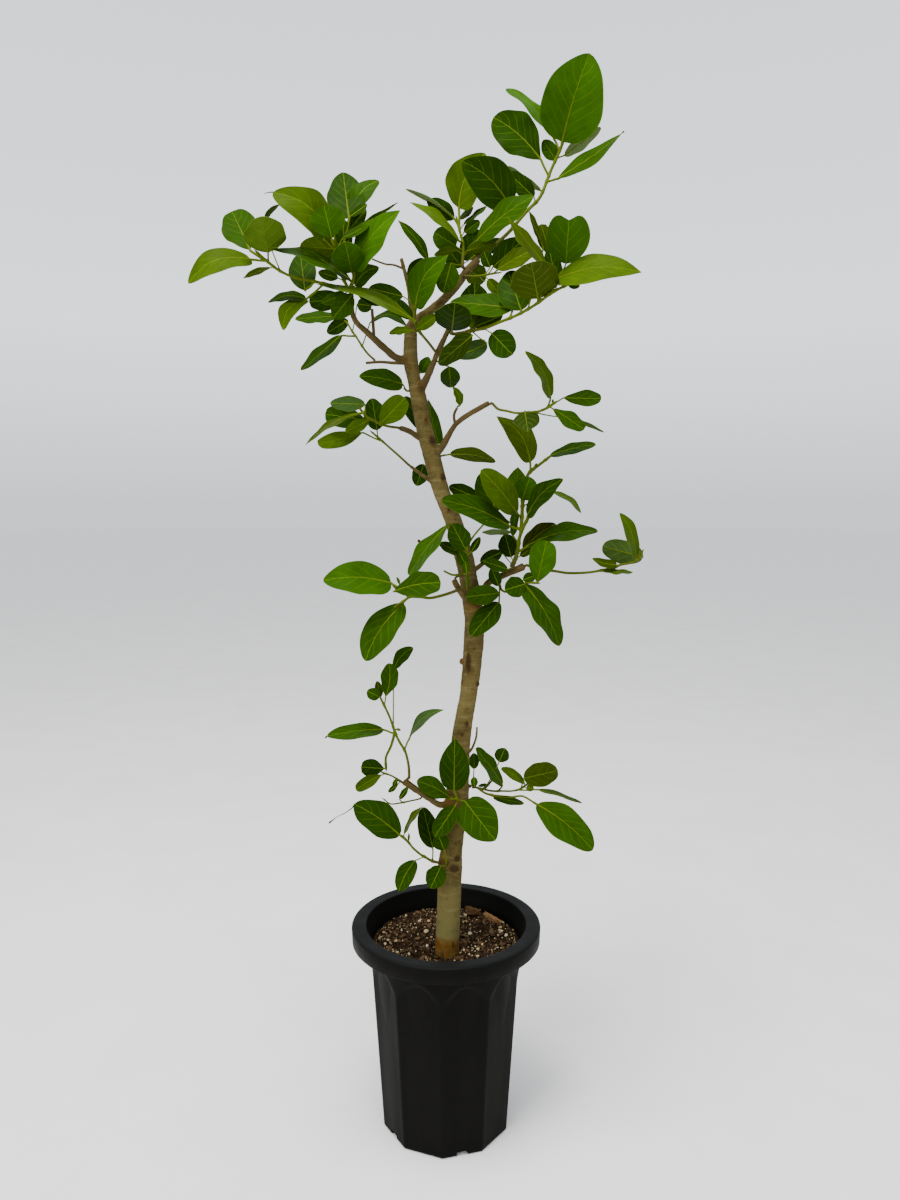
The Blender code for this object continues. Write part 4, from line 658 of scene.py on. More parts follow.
        Leaf((380, 697), (367, 691), 15, 1, 2, 0.3), Leaf((381, 697), (377, 681), 9, 1, 4),
        Leaf((383.3, 729), (327, 736), 18, 1, 0, 0.4, 0.03),
        Leaf((408.5, 739), (444, 709.5), 11.5, 1, 0, 0.2, 0.15, LANCE),
        Leaf((384.8, 768.7), (361, 767), 21, 1, 0, 0.4, 0, BLUNT), Leaf((396, 729), (401, 730), 3, 1),
    )),
    Shoot("shoot_branch_end", 2.4, "ydd", (
        ((399, 780, -64), (392, 776, -71), (384, 773, -78)),
    ), (
        Leaf((382.2, 774.3), (355.8, 789.8), 14, 1, -4, 0.4, 0.03, BLUNT), Leaf((397, 785), (388, 792), 6, 1, -6),
        Leaf((397, 779), (393, 787), 6, 1, -3),
    )),
    Shoot("twig_low_left", 2.0, "d", (
        ((421, 798, -56), (410, 801, -58), (400, 803, -60), (391, 804, -60), (386, 801, -60)),
    ), (
        Leaf((399, 799), (408, 787), 7, 1, -10),
    )),
    Shoot("shoot_low_front", 3.6, "dmdmd", (
        ((457, 799, -48), (456, 798, -56)),
    ), (
        Leaf((454, 790.5), (454.7, 738), 37, 1, 0, 0.5, 0, POINTED),
        Leaf((451, 798), (417, 781), 22, 1, -4, 0.6, 0.05, SPOON), Leaf((441, 797), (420, 787), 12, 1, -7),
        Leaf((464.8, 801), (495.3, 840.7), 45, 1, -4, 0.6, 0, EGG), Leaf((455, 806), (434.5, 837), 24, 1, -7, 0.6),
    )),
    Shoot("shoot_low_right", 2.8, "mdyoydmgdbm", (
        ((473, 787, -27), (478, 788, -23), (483, 789, -19), (492, 791, -11), (502, 791, -3), (512, 791, 5),
         (520, 789, 12), (526, 785, 18)),
        ((478, 788, -23), (485, 793, -26), (492, 795, -28), (500, 796, -31), (512, 797, -35), (522, 796, -39),
         (530, 800, -42), (536, 804, -44)),
        ((483, 789, -19), (488, 785, -8), (493, 779, 6)),
    ), (
        Leaf((503, 785), (476, 748), 17, 1, 0, 0.3, 0.02), Leaf((499, 762), (505, 748), 19, 1, 6, -0.5),
        Leaf((525, 783), (501, 768), 12, 1, 4, 0, 0.05), Leaf((524, 778.3), (558, 770.5), 31, 1, 2, -0.5, 0, ROUND),
        Leaf((526, 788), (534, 788), 9, 1, -4), Leaf((493, 797), (524, 804), 10, -1, 2),
        Leaf((537, 804), (593, 850), 38, 1, 0, 0.6, 0.05), Leaf((538, 789), (582, 803), 6, 2, 4, 0, 0.03),
        Leaf((487, 784), (478, 786), 4, 1, 4), Leaf((474, 769), (474, 753), 13, 1, 12),
        Leaf((474, 777), (474.5, 787), 9, 1, -24),
    )),
    Shoot("shoot_lowest_left", 3.2, "dodkd", (
        ((437, 863, -53), (432, 861, -58), (425, 857, -65), (420, 854, -70), (413, 848, -79), (409, 843, -84),
         (403, 837, -92)),
    ), (
        Leaf((400, 835.3), (354.5, 804), 37, 1, 0, 0.5, 0.035),
        Leaf((403.5, 834), (422, 806), 7, 1, 6, 0, 0.06, LANCE),
        Leaf((415, 860.3), (398.5, 891.3), 22, 1, 0, 0.5, 0.055), Leaf((433, 848), (423, 807), 25, 1, 8, -0.4),
        Leaf((409, 841), (409, 833), 2.5, 1, -2),
    )),
    Shoot("leaves_on_knot", 2.4, "dd", (
        ((446, 865, -51), (446, 859, -56), (445, 853, -58)),
    ), (
        Leaf((444, 850), (438, 834), 20, 1, 0, 0.2), Leaf((441, 866), (430.5, 888.3), 25, 1, -4, 0.8),
    )),
)

CHIPS = (
    ("bark_chip_left", (473, 911, 64), (20, 8, 13), -12),
    ("bark_chip_right", (493, 914, 46), (30, 8, 10), -46),
)


class Gathered:
    """Points, faces and their values, gathered for one mesh."""

    def __init__(self):
        self.points, self.faces, self.slots = [], [], []
        self.places, self.tones, self.veins, self.aside = [], [], [], []

    def add(self, points, faces, tones, slot=0, places=None, veins=0.0, aside=None):
        first = len(self.points)
        self.points += points
        self.tones += tones
        self.places += places or [PLAIN_PLACE] * len(points)
        self.veins += [veins] * len(points)
        self.aside += aside or [0.0] * len(points)
        self.add_faces(first, faces, slot)
        return first

    def add_faces(self, first, faces, slot):
        self.faces += [[first + index for index in face] for face in faces]
        self.slots += [slot] * len(faces)

    def build(self, name, materials):
        mesh = bpy.data.meshes.new(name)
        mesh.from_pydata(self.points, [], self.faces)
        mesh.update()
        for made in materials:
            mesh.materials.append(made)
        mesh.polygons.foreach_set("material_index", self.slots)
        layer = mesh.uv_layers.new(name="UVMap")
        tone = mesh.color_attributes.new("tone", "FLOAT_COLOR", "POINT")
        for loop in mesh.loops:
            layer.data[loop.index].uv = self.places[loop.vertex_index]
        for index, colour in enumerate(self.tones):
            tone.data[index].color = (*colour, 1.0)
        for named, values in (("veins", self.veins), ("aside", self.aside)):
            mesh.attributes.new(named, "FLOAT", "POINT").data.foreach_set("value", values)
        bm = bmesh.new()
        bm.from_mesh(mesh)
        bmesh.ops.recalc_face_normals(bm, faces=bm.faces)
        bm.to_mesh(mesh)
        bm.free()
        mesh.shade_smooth()
        mesh.set_sharp_from_angle(angle=SHARP)
        return add_object(name, mesh)


def seen_at(u, v, depth):
    """The point seen at (u, v) that lies depth millimetres behind the pot's axis."""
    right = u - CENTRE_U
    up = CENTRE_V - v
    ray = Vector((right,
                  math.cos(PITCH_DOWN) * FOCAL + math.sin(PITCH_DOWN) * up,
                  -math.sin(PITCH_DOWN) * FOCAL + math.cos(PITCH_DOWN) * up))
    return EYE + ray * ((depth * MM - EYE.y) / ray.y)


def add_object(name, mesh):
    thing = bpy.data.objects.new(name, mesh)
    bpy.context.scene.collection.objects.link(thing)
    return thing


def as_mesh(bm, name):
    """A new mesh with the faces of bm, which is freed."""
    mesh = bpy.data.meshes.new(name)
    bm.to_mesh(mesh)
    bm.free()
    return mesh


def blend(old, new, share):
    """The tone that lies the share of the way from old to new."""
    return tuple(first + (second - first) * share for first, second in zip(old, new))


def tube(points, radii, sides):
    """Points and faces of a closed round tube through the points."""
    made = []
    count = len(points)
    turns = [math.tau * index / sides for index in range(sides)]
    aside = (points[1] - points[0]).orthogonal()
    for index, (point, radius) in enumerate(zip(points, radii)):
        along = (points[min(index + 1, count - 1)] - points[max(index - 1, 0)]).normalized()
        aside = (aside - along * aside.dot(along)).normalized()
        upright = along.cross(aside)
        made += [point + (aside * math.cos(turn) + upright * math.sin(turn)) * radius for turn in turns]
    faces = []
    for row in range(count - 1):
        for side in range(sides):
            nearby = (side + 1) % sides
            faces.append([row * sides + side, row * sides + nearby,
                          (row + 1) * sides + nearby, (row + 1) * sides + side])
    faces.append(list(range(sides))[::-1])
    faces.append([(count - 1) * sides + side for side in range(sides)])
    return made, faces


def smooth_path(points, widths, step):
    """A smooth curve through the points, with its widths, in steps of about the given length."""
    places, sizes = [], []
    for index in range(len(points) - 1):
        before = points[max(index - 1, 0)]
        start, end = points[index], points[index + 1]
        after = points[min(index + 2, len(points) - 1)]
        parts = max(1, round((end - start).length / step))
        for part in range(parts):
            t = part / parts
            places.append(0.5 * (2 * start + (end - before) * t
                                 + (2 * before - 5 * start + 4 * end - after) * t * t
                                 + (3 * start - before - 3 * end + after) * t ** 3))
            eased = t * t * (3 - 2 * t)
            sizes.append(widths[index] + (widths[index + 1] - widths[index]) * eased)
    return places + [points[-1]], sizes + [widths[-1]]


# Leaves

def root_on_stems(paths, foot):
    """The point on the stems that a leaf grows from, a little below the one seen nearest to its foot."""
    best = None
    for path in paths:
        passed = 0.0
        for start, end in zip(path, path[1:]):
            target = seen_at(*foot, start.y / MM)
            run = (end - start) * ACROSS_VIEW
            share = (target - start).dot(run) / max(run.length_squared, MM * MM)
            share = min(1 - STEM_END_SHARE, max(STEM_END_SHARE, share))
            place = start.lerp(end, share)
            away = (seen_at(*foot, place.y / MM) - place).length
            length = (end - start).length
            if best is None or away < best[0]:
                best = (away, path, passed + share * length)
            passed += length
    away, path, reach = best
    left = max(min(reach, LOWEST_ROOT), reach - PETIOLE_SLANT * away)
    for start, end in zip(path, path[1:]):
        length = (end - start).length
        if left <= length:
            return start.lerp(end, left / length)
        left -= length
    return path[-1]


def leaf_frame(paths, leaf):
    """Root on the stem, foot, axis to the tip, side of a leaf, the way its edges stand, its width and bow."""
    root = root_on_stems(paths, leaf.foot)
    depth = root.y / MM + leaf.back
    foot = seen_at(*leaf.foot, depth)
    flat_tip = seen_at(*leaf.tip, depth)
    seen_length = (flat_tip - foot).length
    seen_width = leaf.seen * MM
    leaning = abs(leaf.lean)
    length = max(seen_length * (1 + LEAN_SLACK * leaning), LONGEST_RATIO * seen_width * leaning)
    near = math.copysign(math.sqrt(max(0.0, length ** 2 - seen_length ** 2)), leaf.lean)
    tip = seen_at(*leaf.tip, depth - near / MM)
    axis = tip - foot
    view = (foot + axis / 2 - EYE).normalized()
    toward = (-view - axis * (-view.dot(axis)) / axis.length_squared).normalized()
    across = axis.cross(toward).normalized()
    width = min(BROADEST, max(seen_width, min(length / NATURAL_RATIO, seen_width * EDGE_ON)))
    turn = min(STEEPEST, math.acos(min(1.0, seen_width / width)))
    choices = [toward * math.cos(turn) + across * math.sin(turn) * way for way in (1, -1)]
    if abs(leaf.face) == 2:
        choices = [-choice for choice in choices]
    choices.sort(key=lambda choice: choice.dot(UPWARD))
    upper = choices[1] if leaf.face > 0 else choices[0]
    side = axis.cross(upper).normalized()
    proud = -view if upper.dot(toward) > 0 else view
    bend = across if across.dot(UPWARD) > 0 else -across
    return root, foot, axis, side, proud, width, bend * leaf.bow * axis.length


def half_width(share, form):
    """The blade's half width as a share of its greatest, from foot to tip."""
    shift, at_foot, at_tip, _ = form
    if not 0 < share < 1:
        return 0.0
    return math.sin(math.pi * share ** shift) ** (at_foot + (at_tip - at_foot) * share)


def vein(share, across, veins):
    """How near a place on the blade is to a side vein, from 0 to 1."""
    away = abs(across)
    slant = (VEIN_SLANT[0] + (VEIN_SLANT[1] - VEIN_SLANT[0]) * share) * away ** VEIN_CURVE
    phase = (share - slant) * veins + (VEIN_OFFSET if across > 0 else 0.0)
    off = phase - math.floor(phase) - 0.5
    return math.exp(-(off / VEIN_WIDTH) ** 2) * min(1.0, (1 - away) * VEIN_END)


def add_blade(body, paths, leaf, tone, draw):
    """One leaf: its petiole, its blade with midrib and side veins, and the rib under it."""
    root, foot, axis, side, proud, width, bend = leaf_frame(paths, leaf)
    upper = side.cross(axis).normalized()
    cleft = leaf.form[-1]
    length = axis.length
    rows, columns = next(size[1:] for size in BLADE_SIZES if length > size[0])
    wave = draw.uniform(*EDGE_WAVE) * width
    waves = draw.uniform(*WAVE_COUNT)
    wave_start = draw.uniform(0, math.tau)
    uneven = draw.uniform(*EDGE_UNEVEN)
    uneven_start = draw.uniform(0, math.tau)
    twist = draw.uniform(-TWIST, TWIST)
    droop = draw.uniform(*TIP_DROOP) * length
    veins = max(FEWEST_VEINS, round(length / VEIN_SPACING))
    bright = 1 + draw.uniform(-TONE_SPREAD, TONE_SPREAD)
    colour = tuple(min(1.0, part * bright) for part in tone)

    def place(share, across, under):
        fullness = half_width(share, leaf.form)
        half = max(fullness * width / 2, TIP_WIDTH)
        half *= 1 + uneven * math.sin(waves * math.tau * share + uneven_start + 2 * across)
        lift = math.sin(math.pi * share)
        turn = twist * (share - 0.5)
        level = side * math.cos(turn) + upper * math.sin(turn)
        crease = (math.hypot(across, CREASE) - CREASE) / (math.hypot(1, CREASE) - CREASE)
        along = share + cleft * share * share * fullness * abs(across)
        rise = wave * across * across * lift * math.sin(waves * math.tau * share + wave_start + across)
        rise -= RIB_DEPTH * math.exp(-(across * half / RIB_WIDTH) ** 2) * (1 - share * RIB_FADE)
        rise -= VEIN_DEPTH * vein(share, across, veins) * min(1.0, half / VEIN_FULL_FROM)
        if under:
            rise -= BLADE
        return (foot + axis * along + bend * lift + level * half * across + upper * rise
                + proud * (ARCH * length * lift + FOLD * half * crease - droop * share ** DROOP_POWER))

    shares = [0.5 - 0.5 * math.cos(math.pi * row / rows) for row in range(rows + 1)]
    shares = [ROWS_AT_ENDS * share + ROWS_EVEN * row / rows for row, share in enumerate(shares)]
    offsets = [2 * column / columns - 1 for column in range(columns + 1)]
    grid = [(share, across) for share in shares for across in offsets]
    sheet = len(grid)
    points = [place(share, across, under) for under in (False, True) for share, across in grid]
    places = [((across + 1) / 2, share) for share, across in grid]
    aside = [abs(across) * half_width(share, leaf.form) * width / 2 / MM for share, across in grid]

    def index(row, column):
        return row * (columns + 1) + column

    faces = [[index(row, column), index(row, column + 1), index(row + 1, column + 1), index(row + 1, column)]
             for row in range(rows) for column in range(columns)]
    border = [index(0, column) for column in range(columns + 1)]
    border += [index(row, columns) for row in range(1, rows + 1)]
    border += [index(rows, column) for column in range(columns - 1, -1, -1)]
    border += [index(row, 0) for row in range(rows - 1, -1, -1)]
    first = body.add(points, faces, [colour] * len(points), UPPER_SLOT, places * 2, veins, aside * 2)
    body.add_faces(first + sheet, [face[::-1] for face in faces], UNDER_SLOT)
    body.add_faces(first, [[two, one, one + sheet, two + sheet] for one, two in zip(border, border[1:])], UNDER_SLOT)

    # Petiole and the rib that goes on under the blade
    thick = min(PETIOLE_WIDTH[1], max(PETIOLE_WIDTH[0], length * PETIOLE_SHARE))
    reach = foot - root
    hang = Vector((0, 0, -1)) * reach.length * PETIOLE_SAG
    stalk = [root + reach * t + hang * math.sin(math.pi * t) for t, _ in PETIOLE_FORM]
    radii = [thick * size / 2 for _, size in PETIOLE_FORM]
    for share in RIB_PLACES:
        lift = math.sin(math.pi * share)
        drop = RIB_DEPTH * (1 - share * RIB_FADE) + BLADE * RIB_SEAT
        stalk.append(foot + axis * share + bend * lift
                     + proud * (ARCH * length * lift - droop * share ** DROOP_POWER) - upper * drop)
        radii.append(thick / 2 * (1.0 - RIB_TAPER * share ** RIB_TAPER_POWER) if share else thick / 2)
    shape, faces = tube(stalk, radii, PETIOLE_SIDES)
    body.add(shape, faces, [PETIOLE_TONE] * len(shape), STEM_SLOT)
    return root, foot + axis - proud * droop


def add_drip(body, tip, seen, tone, dry):
    """A long thin leaf tip through the places where it is seen."""
    places = [tip] + [seen_at(*place, tip.y / MM) for place in seen]
    count = len(places)
    radii = [DRIP_WIDTH / 2 * (1 - DRIP_TAPER * step / (count - 1)) for step in range(count)]
    if dry:
        radii[-1] = DRIP_WIDTH * DRY_END
    curve, sizes = smooth_path(places, radii, STEM_STEP)
    shape, faces = tube(curve, sizes, PETIOLE_SIDES)
    tones = []
    for step in range(len(curve)):
        share = (step / (len(curve) - 1)) ** 2 if dry else 0.0
        tones += [blend(tone, DRY_TONE, share)] * PETIOLE_SIDES
    body.add(shape, faces, tones, STEM_SLOT)


def stem_paths(shoot, wood):
    """The points of each stem. The first stem starts just off the wood that it grows from."""
    paths = [[seen_at(*place) for place in stem] for stem in shoot.stems]
    surface, normal, _, _ = wood.find_nearest(paths[0][0])
    paths[0][0:1] = [surface + normal * CLEAR, surface + normal * (CLEAR + shoot.stem * MM)]
    return paths


def add_shoot(shoot, wood, materials):
    """The stems and leaves of a shoot. Its name seeds the draws."""
    draw = random.Random(shoot.name)
    paths = stem_paths(shoot, wood)
    body = Gathered()
    roots = []
    # Each leaf's tone is partly its own green and partly painted light and shade
    for number, (leaf, letter) in enumerate(zip(shoot.leaves, shoot.tones, strict=True)):
        root, tip = add_blade(body, paths, leaf, LEAF_TONES_LIT_AND_SHADED[letter], draw)
        roots.append(root)
        if (shoot.name, number) in DRIPS:
            seen, dry = DRIPS[shoot.name, number]
            add_drip(body, tip, seen, LEAF_TONES_LIT_AND_SHADED[letter], dry)
    for number, path in enumerate(paths):
        taper = STEM_TAPER / len(path)
        widths = [shoot.stem * STEM_FULLNESS * MM * (1 - taper * step) for step in range(len(path))]
        places, sizes = smooth_path(path, widths, STEM_STEP)
        radii = []
        for place, size in zip(places, sizes):
            nearest = min((place - root).length for root in roots)
            radii.append(size / 2 * (1 + NODE_SWELL * math.exp(-(nearest / NODE_LENGTH) ** 2)))
        if len(path) > LONGEST_BARE:
            ahead = (places[-1] - places[-2]).normalized()
            places += [places[-1] + ahead * BUD_LENGTH * share for share, _ in BUD_FORM]
            radii += [radii[-1] * size for _, size in BUD_FORM]
        shape, faces = tube(places, radii, STEM_SIDES)
        tones = []
        for step in range(len(places)):
            green = min(1.0, step / (len(places) - 1) / WOODY_SHARE) if number == 0 else 1.0
            tones += [blend(WOODY_TONE, STEM_TONE, green)] * STEM_SIDES
        body.add(shape, faces, tones, STEM_SLOT)
    piece = body.build(shoot.name + "_fine", materials)
    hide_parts(shoot.name)
    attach(piece, "root")


# Wood

def add_trunk(made):
    """The trunk with its branches and stubs, grown together, and its dry twigs."""
    foot = seen_at(*TRUNK_FOOT)
    points = [foot - Vector((0, 0, depth)) for depth, _ in FOOT_PLACES]
    widths = [width for _, width in FOOT_PLACES]
    points += [seen_at(u, v, y) for u, v, y, _ in TRUNK]
    widths += [width * MM for *_, width in TRUNK]
    heart, sizes = smooth_path(points, widths, WOOD_STEP)
    grown = Gathered()
    twigs = Gathered()

    def grow(body, places, thick, sides):
        shape, faces = tube(places, [size / 2 for size in thick], sides)
        body.add(shape, faces, [PLAIN_TONE] * len(shape))

    grow(grown, heart, sizes, WOOD_SIDES)
    for branch in BRANCHES:
        places, thick = smooth_path([seen_at(u, v, y) for u, v, y, _ in branch],
                                    [width * MM for *_, width in branch], WOOD_STEP)
        if thick[0] > SLIM_WOOD:
            grow(grown, places, thick, BRANCH_SIDES)
        else:
            grow(twigs, places, thick, TWIG_SIDES)
    for u, v, out, wide, high in KNOTS:
        middle = seen_at(u, v, trunk_depth(v) + out)
        grow(grown, [middle + Vector((0, 0, high * MM * (share - 0.5))) for share, _ in KNOT_FORM],
             [wide * MM * size for _, size in KNOT_FORM], TWIG_SIDES)
    trunk = grown.build("trunk_fine", [made])
    melt = trunk.modifiers.new("grown together", "REMESH")
    melt.mode = "VOXEL"
    melt.voxel_size = WOOD_VOXEL
    ease = trunk.modifiers.new("eased", "SMOOTH")
    ease.iterations = WOOD_SMOOTHING
    ease.factor = WOOD_EASE
    depsgraph = bpy.context.evaluated_depsgraph_get()
    trunk.data = bpy.data.meshes.new_from_object(trunk.evaluated_get(depsgraph))
    trunk.modifiers.clear()
    bm = bmesh.new()
    bm.from_mesh(trunk.data)
    bm.normal_update()
    spots = [(seen_at(u, v, trunk_depth(v) + out), *values) for u, v, out, *values in STAINS]
    for vertex in bm.verts:
        lump = noise.noise(vertex.co * BARK_LUMP) * BARK_LUMP_HEIGHT
        crease = noise.noise(stretched(vertex.co, BARK_CREASE)) * BARK_CREASE_HEIGHT
        vertex.co += vertex.normal * (lump + crease + stains_at(vertex.co, spots)[2])
    count = len(bm.verts)
    bm.to_mesh(trunk.data)
    bm.free()
    slim = twigs.build("twigs", [made])
    bm = bmesh.new()
    bm.from_mesh(trunk.data)
    bm.from_mesh(slim.data)
    mesh = as_mesh(bm, "trunk_fine")
    bpy.data.objects.remove(slim, do_unlink=True)
    paint_wood(mesh, heart, sizes, count, spots)
    mesh.materials.clear()
    mesh.materials.append(made)
    mesh.shade_smooth()
    trunk.data = mesh
    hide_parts("trunk")
    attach(trunk, "root")


def trunk_depth(v):
    """The depth of the trunk's middle at a height in the picture, in mm."""
    for low, high in zip(TRUNK, TRUNK[1:]):
        if high[1] <= v <= low[1]:
            share = (v - low[1]) / (high[1] - low[1])
            return low[2] + (high[2] - low[2]) * share
    return TRUNK[0][2]


def stretched(place, scales):
    """A place with each of its parts scaled, to look up noise at."""
    return Vector([part * scale for part, scale in zip(place, scales)])


def limited(value, least=0.0):
    return min(1.0, max(least, value))


def stains_at(place, spots):
    """How dark and how orange the stains make a place, and how far a scar lifts it."""
    dark = orange = lift = 0.0
    for spot, wide, high, deep, warm, rim in spots:
        away = place - spot
        near = math.sqrt(away.x ** 2 + away.y ** 2) / (wide * MM)
        near = math.hypot(near, away.z / (high * MM))
        if near > STAIN_REACH:
            continue
        share = math.exp(-near ** 2)
        edge = math.exp(-((near - RIM_PLACE) / RIM_BREADTH) ** 2) if rim else 0.0
        dark = max(dark, deep * (min(1.0, share * SCAR_FULLNESS) if rim else share))
        orange = max(orange, warm * share, RIM_TINT * edge)
        lift += rim * MM * (edge - SCAR_DEPTH * share)
    return dark, orange, lift


def paint_wood(mesh, heart, sizes, count, spots):
    """Stores how dark, how orange and how brown each point is. The points from count on are dry twigs."""
    for attribute in list(mesh.color_attributes):
        mesh.color_attributes.remove(attribute)
    layer = mesh.color_attributes.new("stain", "FLOAT_COLOR", "POINT")
    tree = KDTree(len(heart))
    for index, place in enumerate(heart):
        tree.insert(place, index)
    tree.balance()
    top, bottom = heart[-1].z, seen_at(*TRUNK_FOOT).z
    for index, vertex in enumerate(mesh.vertices):
        place = vertex.co
        _, nearest, away = tree.find(place)
        brown = limited((away - sizes[nearest] / 2) / BRANCH_BLEND) if index < count else 1.0
        brown *= limited((place.z - BROWN_FROM[0]) / (BROWN_FROM[1] - BROWN_FROM[0]), LEAST_BROWN)
        brown = max(brown, limited((place.z - CROWN_HEIGHT) / (top - CROWN_HEIGHT)))
        ragged = noise.noise(place * FOOT_RAGGED_SCALE) * FOOT_RAGGED
        low = limited((bottom + FOOT_STAIN[1] + ragged - place.z) / (FOOT_STAIN[1] - FOOT_STAIN[0]))
        dark, orange, _ = stains_at(place, spots)
        orange = max(orange, low * (FOOT_ORANGE[0] + FOOT_ORANGE[1] * noise.noise(place * FOOT_ORANGE_SCALE)))
        dark = max(dark, FOOT_DARK * low * max(0.0, noise.noise(stretched(place, FOOT_STREAKS))))
        layer.data[index].color = (dark, orange, brown, 1.0)


# Soil

def soil_height(x, y):
    share = math.hypot(x, y) / NECK_RADIUS
    lumps = noise.noise(Vector((x, y, SOIL_SEED)) * SOIL_GRAIN) * SOIL_LUMPS
    return SOIL_EDGE + SOIL_MOUND * (1 - share * share) + lumps


def crumbs(x, y):
    """The fine relief on the soil's surface."""
    place = Vector((x, y, 0.0))
    coarse, middling, fine = (noise.noise(place * scale) * share for scale, share in CRUMBS)
    return (abs(coarse) + middling + fine) * CRUMB_HEIGHT


def on_soil(u, v):
    """The place on the soil that is seen at u, v."""
    ahead = (seen_at(u, v, depth) for depth in range(-95, 95))
    return next(place for place in ahead if place.z < soil_height(place.x, place.y) + CRUMB_HEIGHT)


def soil_radius(height):
    share = (height - FLOOR) / (NECK_HEIGHT - FLOOR)
    return INNER_FOOT + (INNER_NECK - INNER_FOOT) * share - SOIL_INSIDE


def ring(radius):
    """The places of the soil's points on a circle."""
    angles = [math.tau * step / SOIL_STEPS for step in range(SOIL_STEPS)]
    return [(radius * math.cos(angle), radius * math.sin(angle)) for angle in angles]


def add_soil(made):
    edge = soil_radius(SOIL_EDGE)
    places = [(0.0, 0.0)]
    for index in range(1, SOIL_RINGS + 1):
        places += ring(edge * index / SOIL_RINGS)
    points = [(x, y, soil_height(x, y) + crumbs(x, y)) for x, y in places]
    points += [(x, y, SOIL_BOTTOM) for x, y in ring(soil_radius(SOIL_BOTTOM))]
    faces = []
    for step in range(SOIL_STEPS):
        after = (step + 1) % SOIL_STEPS
        faces.append((0, 1 + step, 1 + after))
        for index in range(SOIL_RINGS):
            inner, outer = 1 + index * SOIL_STEPS, 1 + (index + 1) * SOIL_STEPS
            faces.append((inner + step, outer + step, outer + after, inner + after))
    faces.append(tuple(1 + SOIL_RINGS * SOIL_STEPS + step for step in range(SOIL_STEPS))[::-1])
    mesh = bpy.data.meshes.new("soil_fine")
    mesh.from_pydata(points, [], faces)
    mesh.update()
    mesh.materials.append(made)
    mesh.shade_smooth()
    soil = add_object("soil_fine", mesh)
    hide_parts("potting_soil")
    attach(soil, "root")


def add_grains(made):
    """Loose bark crumbs and pumice that lie on the soil."""
    draw = random.Random(GRAIN_SEED)
    body = Gathered()
    foot = seen_at(*TRUNK_FOOT)
    shapes = {}
    for level in (1, 2):
        bm = bmesh.new()
        bmesh.ops.create_icosphere(bm, subdivisions=level, radius=0.5)
        shapes[level] = ([vertex.co.copy() for vertex in bm.verts],
                         [[vertex.index for vertex in face.verts] for face in bm.faces])
        bm.free()

    def add_grain(x, y, size, flat, slim, tones, level):
        turn = Euler((draw.uniform(-GRAIN_TILT, GRAIN_TILT), draw.uniform(-GRAIN_TILT, GRAIN_TILT),
                      draw.uniform(0, math.tau)))
        tone = draw.choice(tones)
        bright = draw.uniform(*GRAIN_BRIGHTNESS)
        offset = Vector((draw.random(), draw.random(), draw.random())) * GRAIN_OFFSET
        if math.hypot(x - foot.x, y - foot.y) < FOOT_PLACES[1][1] / 2 + size * GRAIN_OFF_TRUNK:
            return
        centre = Vector((x, y, soil_height(x, y) + size * flat * GRAIN_SEAT + CRUMB_HEIGHT))
        points, faces = shapes[level]
        made_points = []
        for point in points:
            rough = 1 + GRAIN_ROUGHNESS * noise.noise(point * GRAIN_ROUGH_SCALE + offset)
            local = Vector((point.x, point.y * slim, point.z * flat)) * rough * size
            local.rotate(turn)
            made_points.append(centre + local)
        colour = tuple(min(1.0, part * bright) for part in tone)
        body.add(made_points, faces, [colour] * len(points))

    for count, sizes, flatness, slimness, tones, level in GRAINS:
        for _ in range(count):
            radius = math.sqrt(draw.random()) * (soil_radius(SOIL_EDGE) - sizes[1] * MM)
            angle = draw.uniform(0, math.tau)
            add_grain(radius * math.cos(angle), radius * math.sin(angle), draw.uniform(*sizes) * MM,
                      draw.uniform(*flatness), draw.uniform(*slimness), tones, level)
    for u, v, size in LARGE_GRAINS:
        spot = on_soil(u, v)
        add_grain(spot.x, spot.y, size * MM, *LARGE_GRAIN_FORM, PUMICE[:2], 2)
    piece = body.build("soil_grains", [made])
    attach(piece, "root")


def add_chip(name, size, turn, draw):
    """A ragged flake of bark in the place of its plain solid."""
    low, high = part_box(name)
    middle = (low + high) / 2
    bm = bmesh.new()
    bmesh.ops.create_cube(bm, size=1.0)
    bmesh.ops.subdivide_edges(bm, edges=bm.edges[:], cuts=FLAKE_CUTS, use_grid_fill=True)
    offset = Vector((draw.random(), draw.random(), draw.random())) * FLAKE_OFFSET
    turned = Euler((0.0, 0.0, math.radians(turn)))
    for vertex in bm.verts:
        place = vertex.co.copy()
        ragged = 1 - FLAKE_RAGGED * (1 + noise.noise(place * FLAKE_SCALE + offset))
        taper = 1 - FLAKE_TAPER * (place.x + 0.5)
        layer = 1 - FLAKE_LAYERS * (1 + noise.noise(stretched(place, FLAKE_LAYER_SCALE) + offset))
        local = Vector((place.x * ragged * size[0], place.y * layer * FLAKE_THINNING * size[1],
                        place.z * ragged * taper * size[2])) * MM
        local.rotate(turned)
        vertex.co = middle + local * FLAKE_FULLNESS
    bottom = min(vertex.co.z for vertex in bm.verts)
    for vertex in bm.verts:
        vertex.co.z += low.z - bottom
    mesh = as_mesh(bm, name + "_fine")
    mesh.materials.append(chip_material(name, CHIP_TONES[name]))
    mesh.shade_smooth()
    mesh.set_sharp_from_angle(angle=SHARP)
    piece = add_object(name + "_fine", mesh)
    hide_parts(name)
    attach(piece, "root")


# Pot

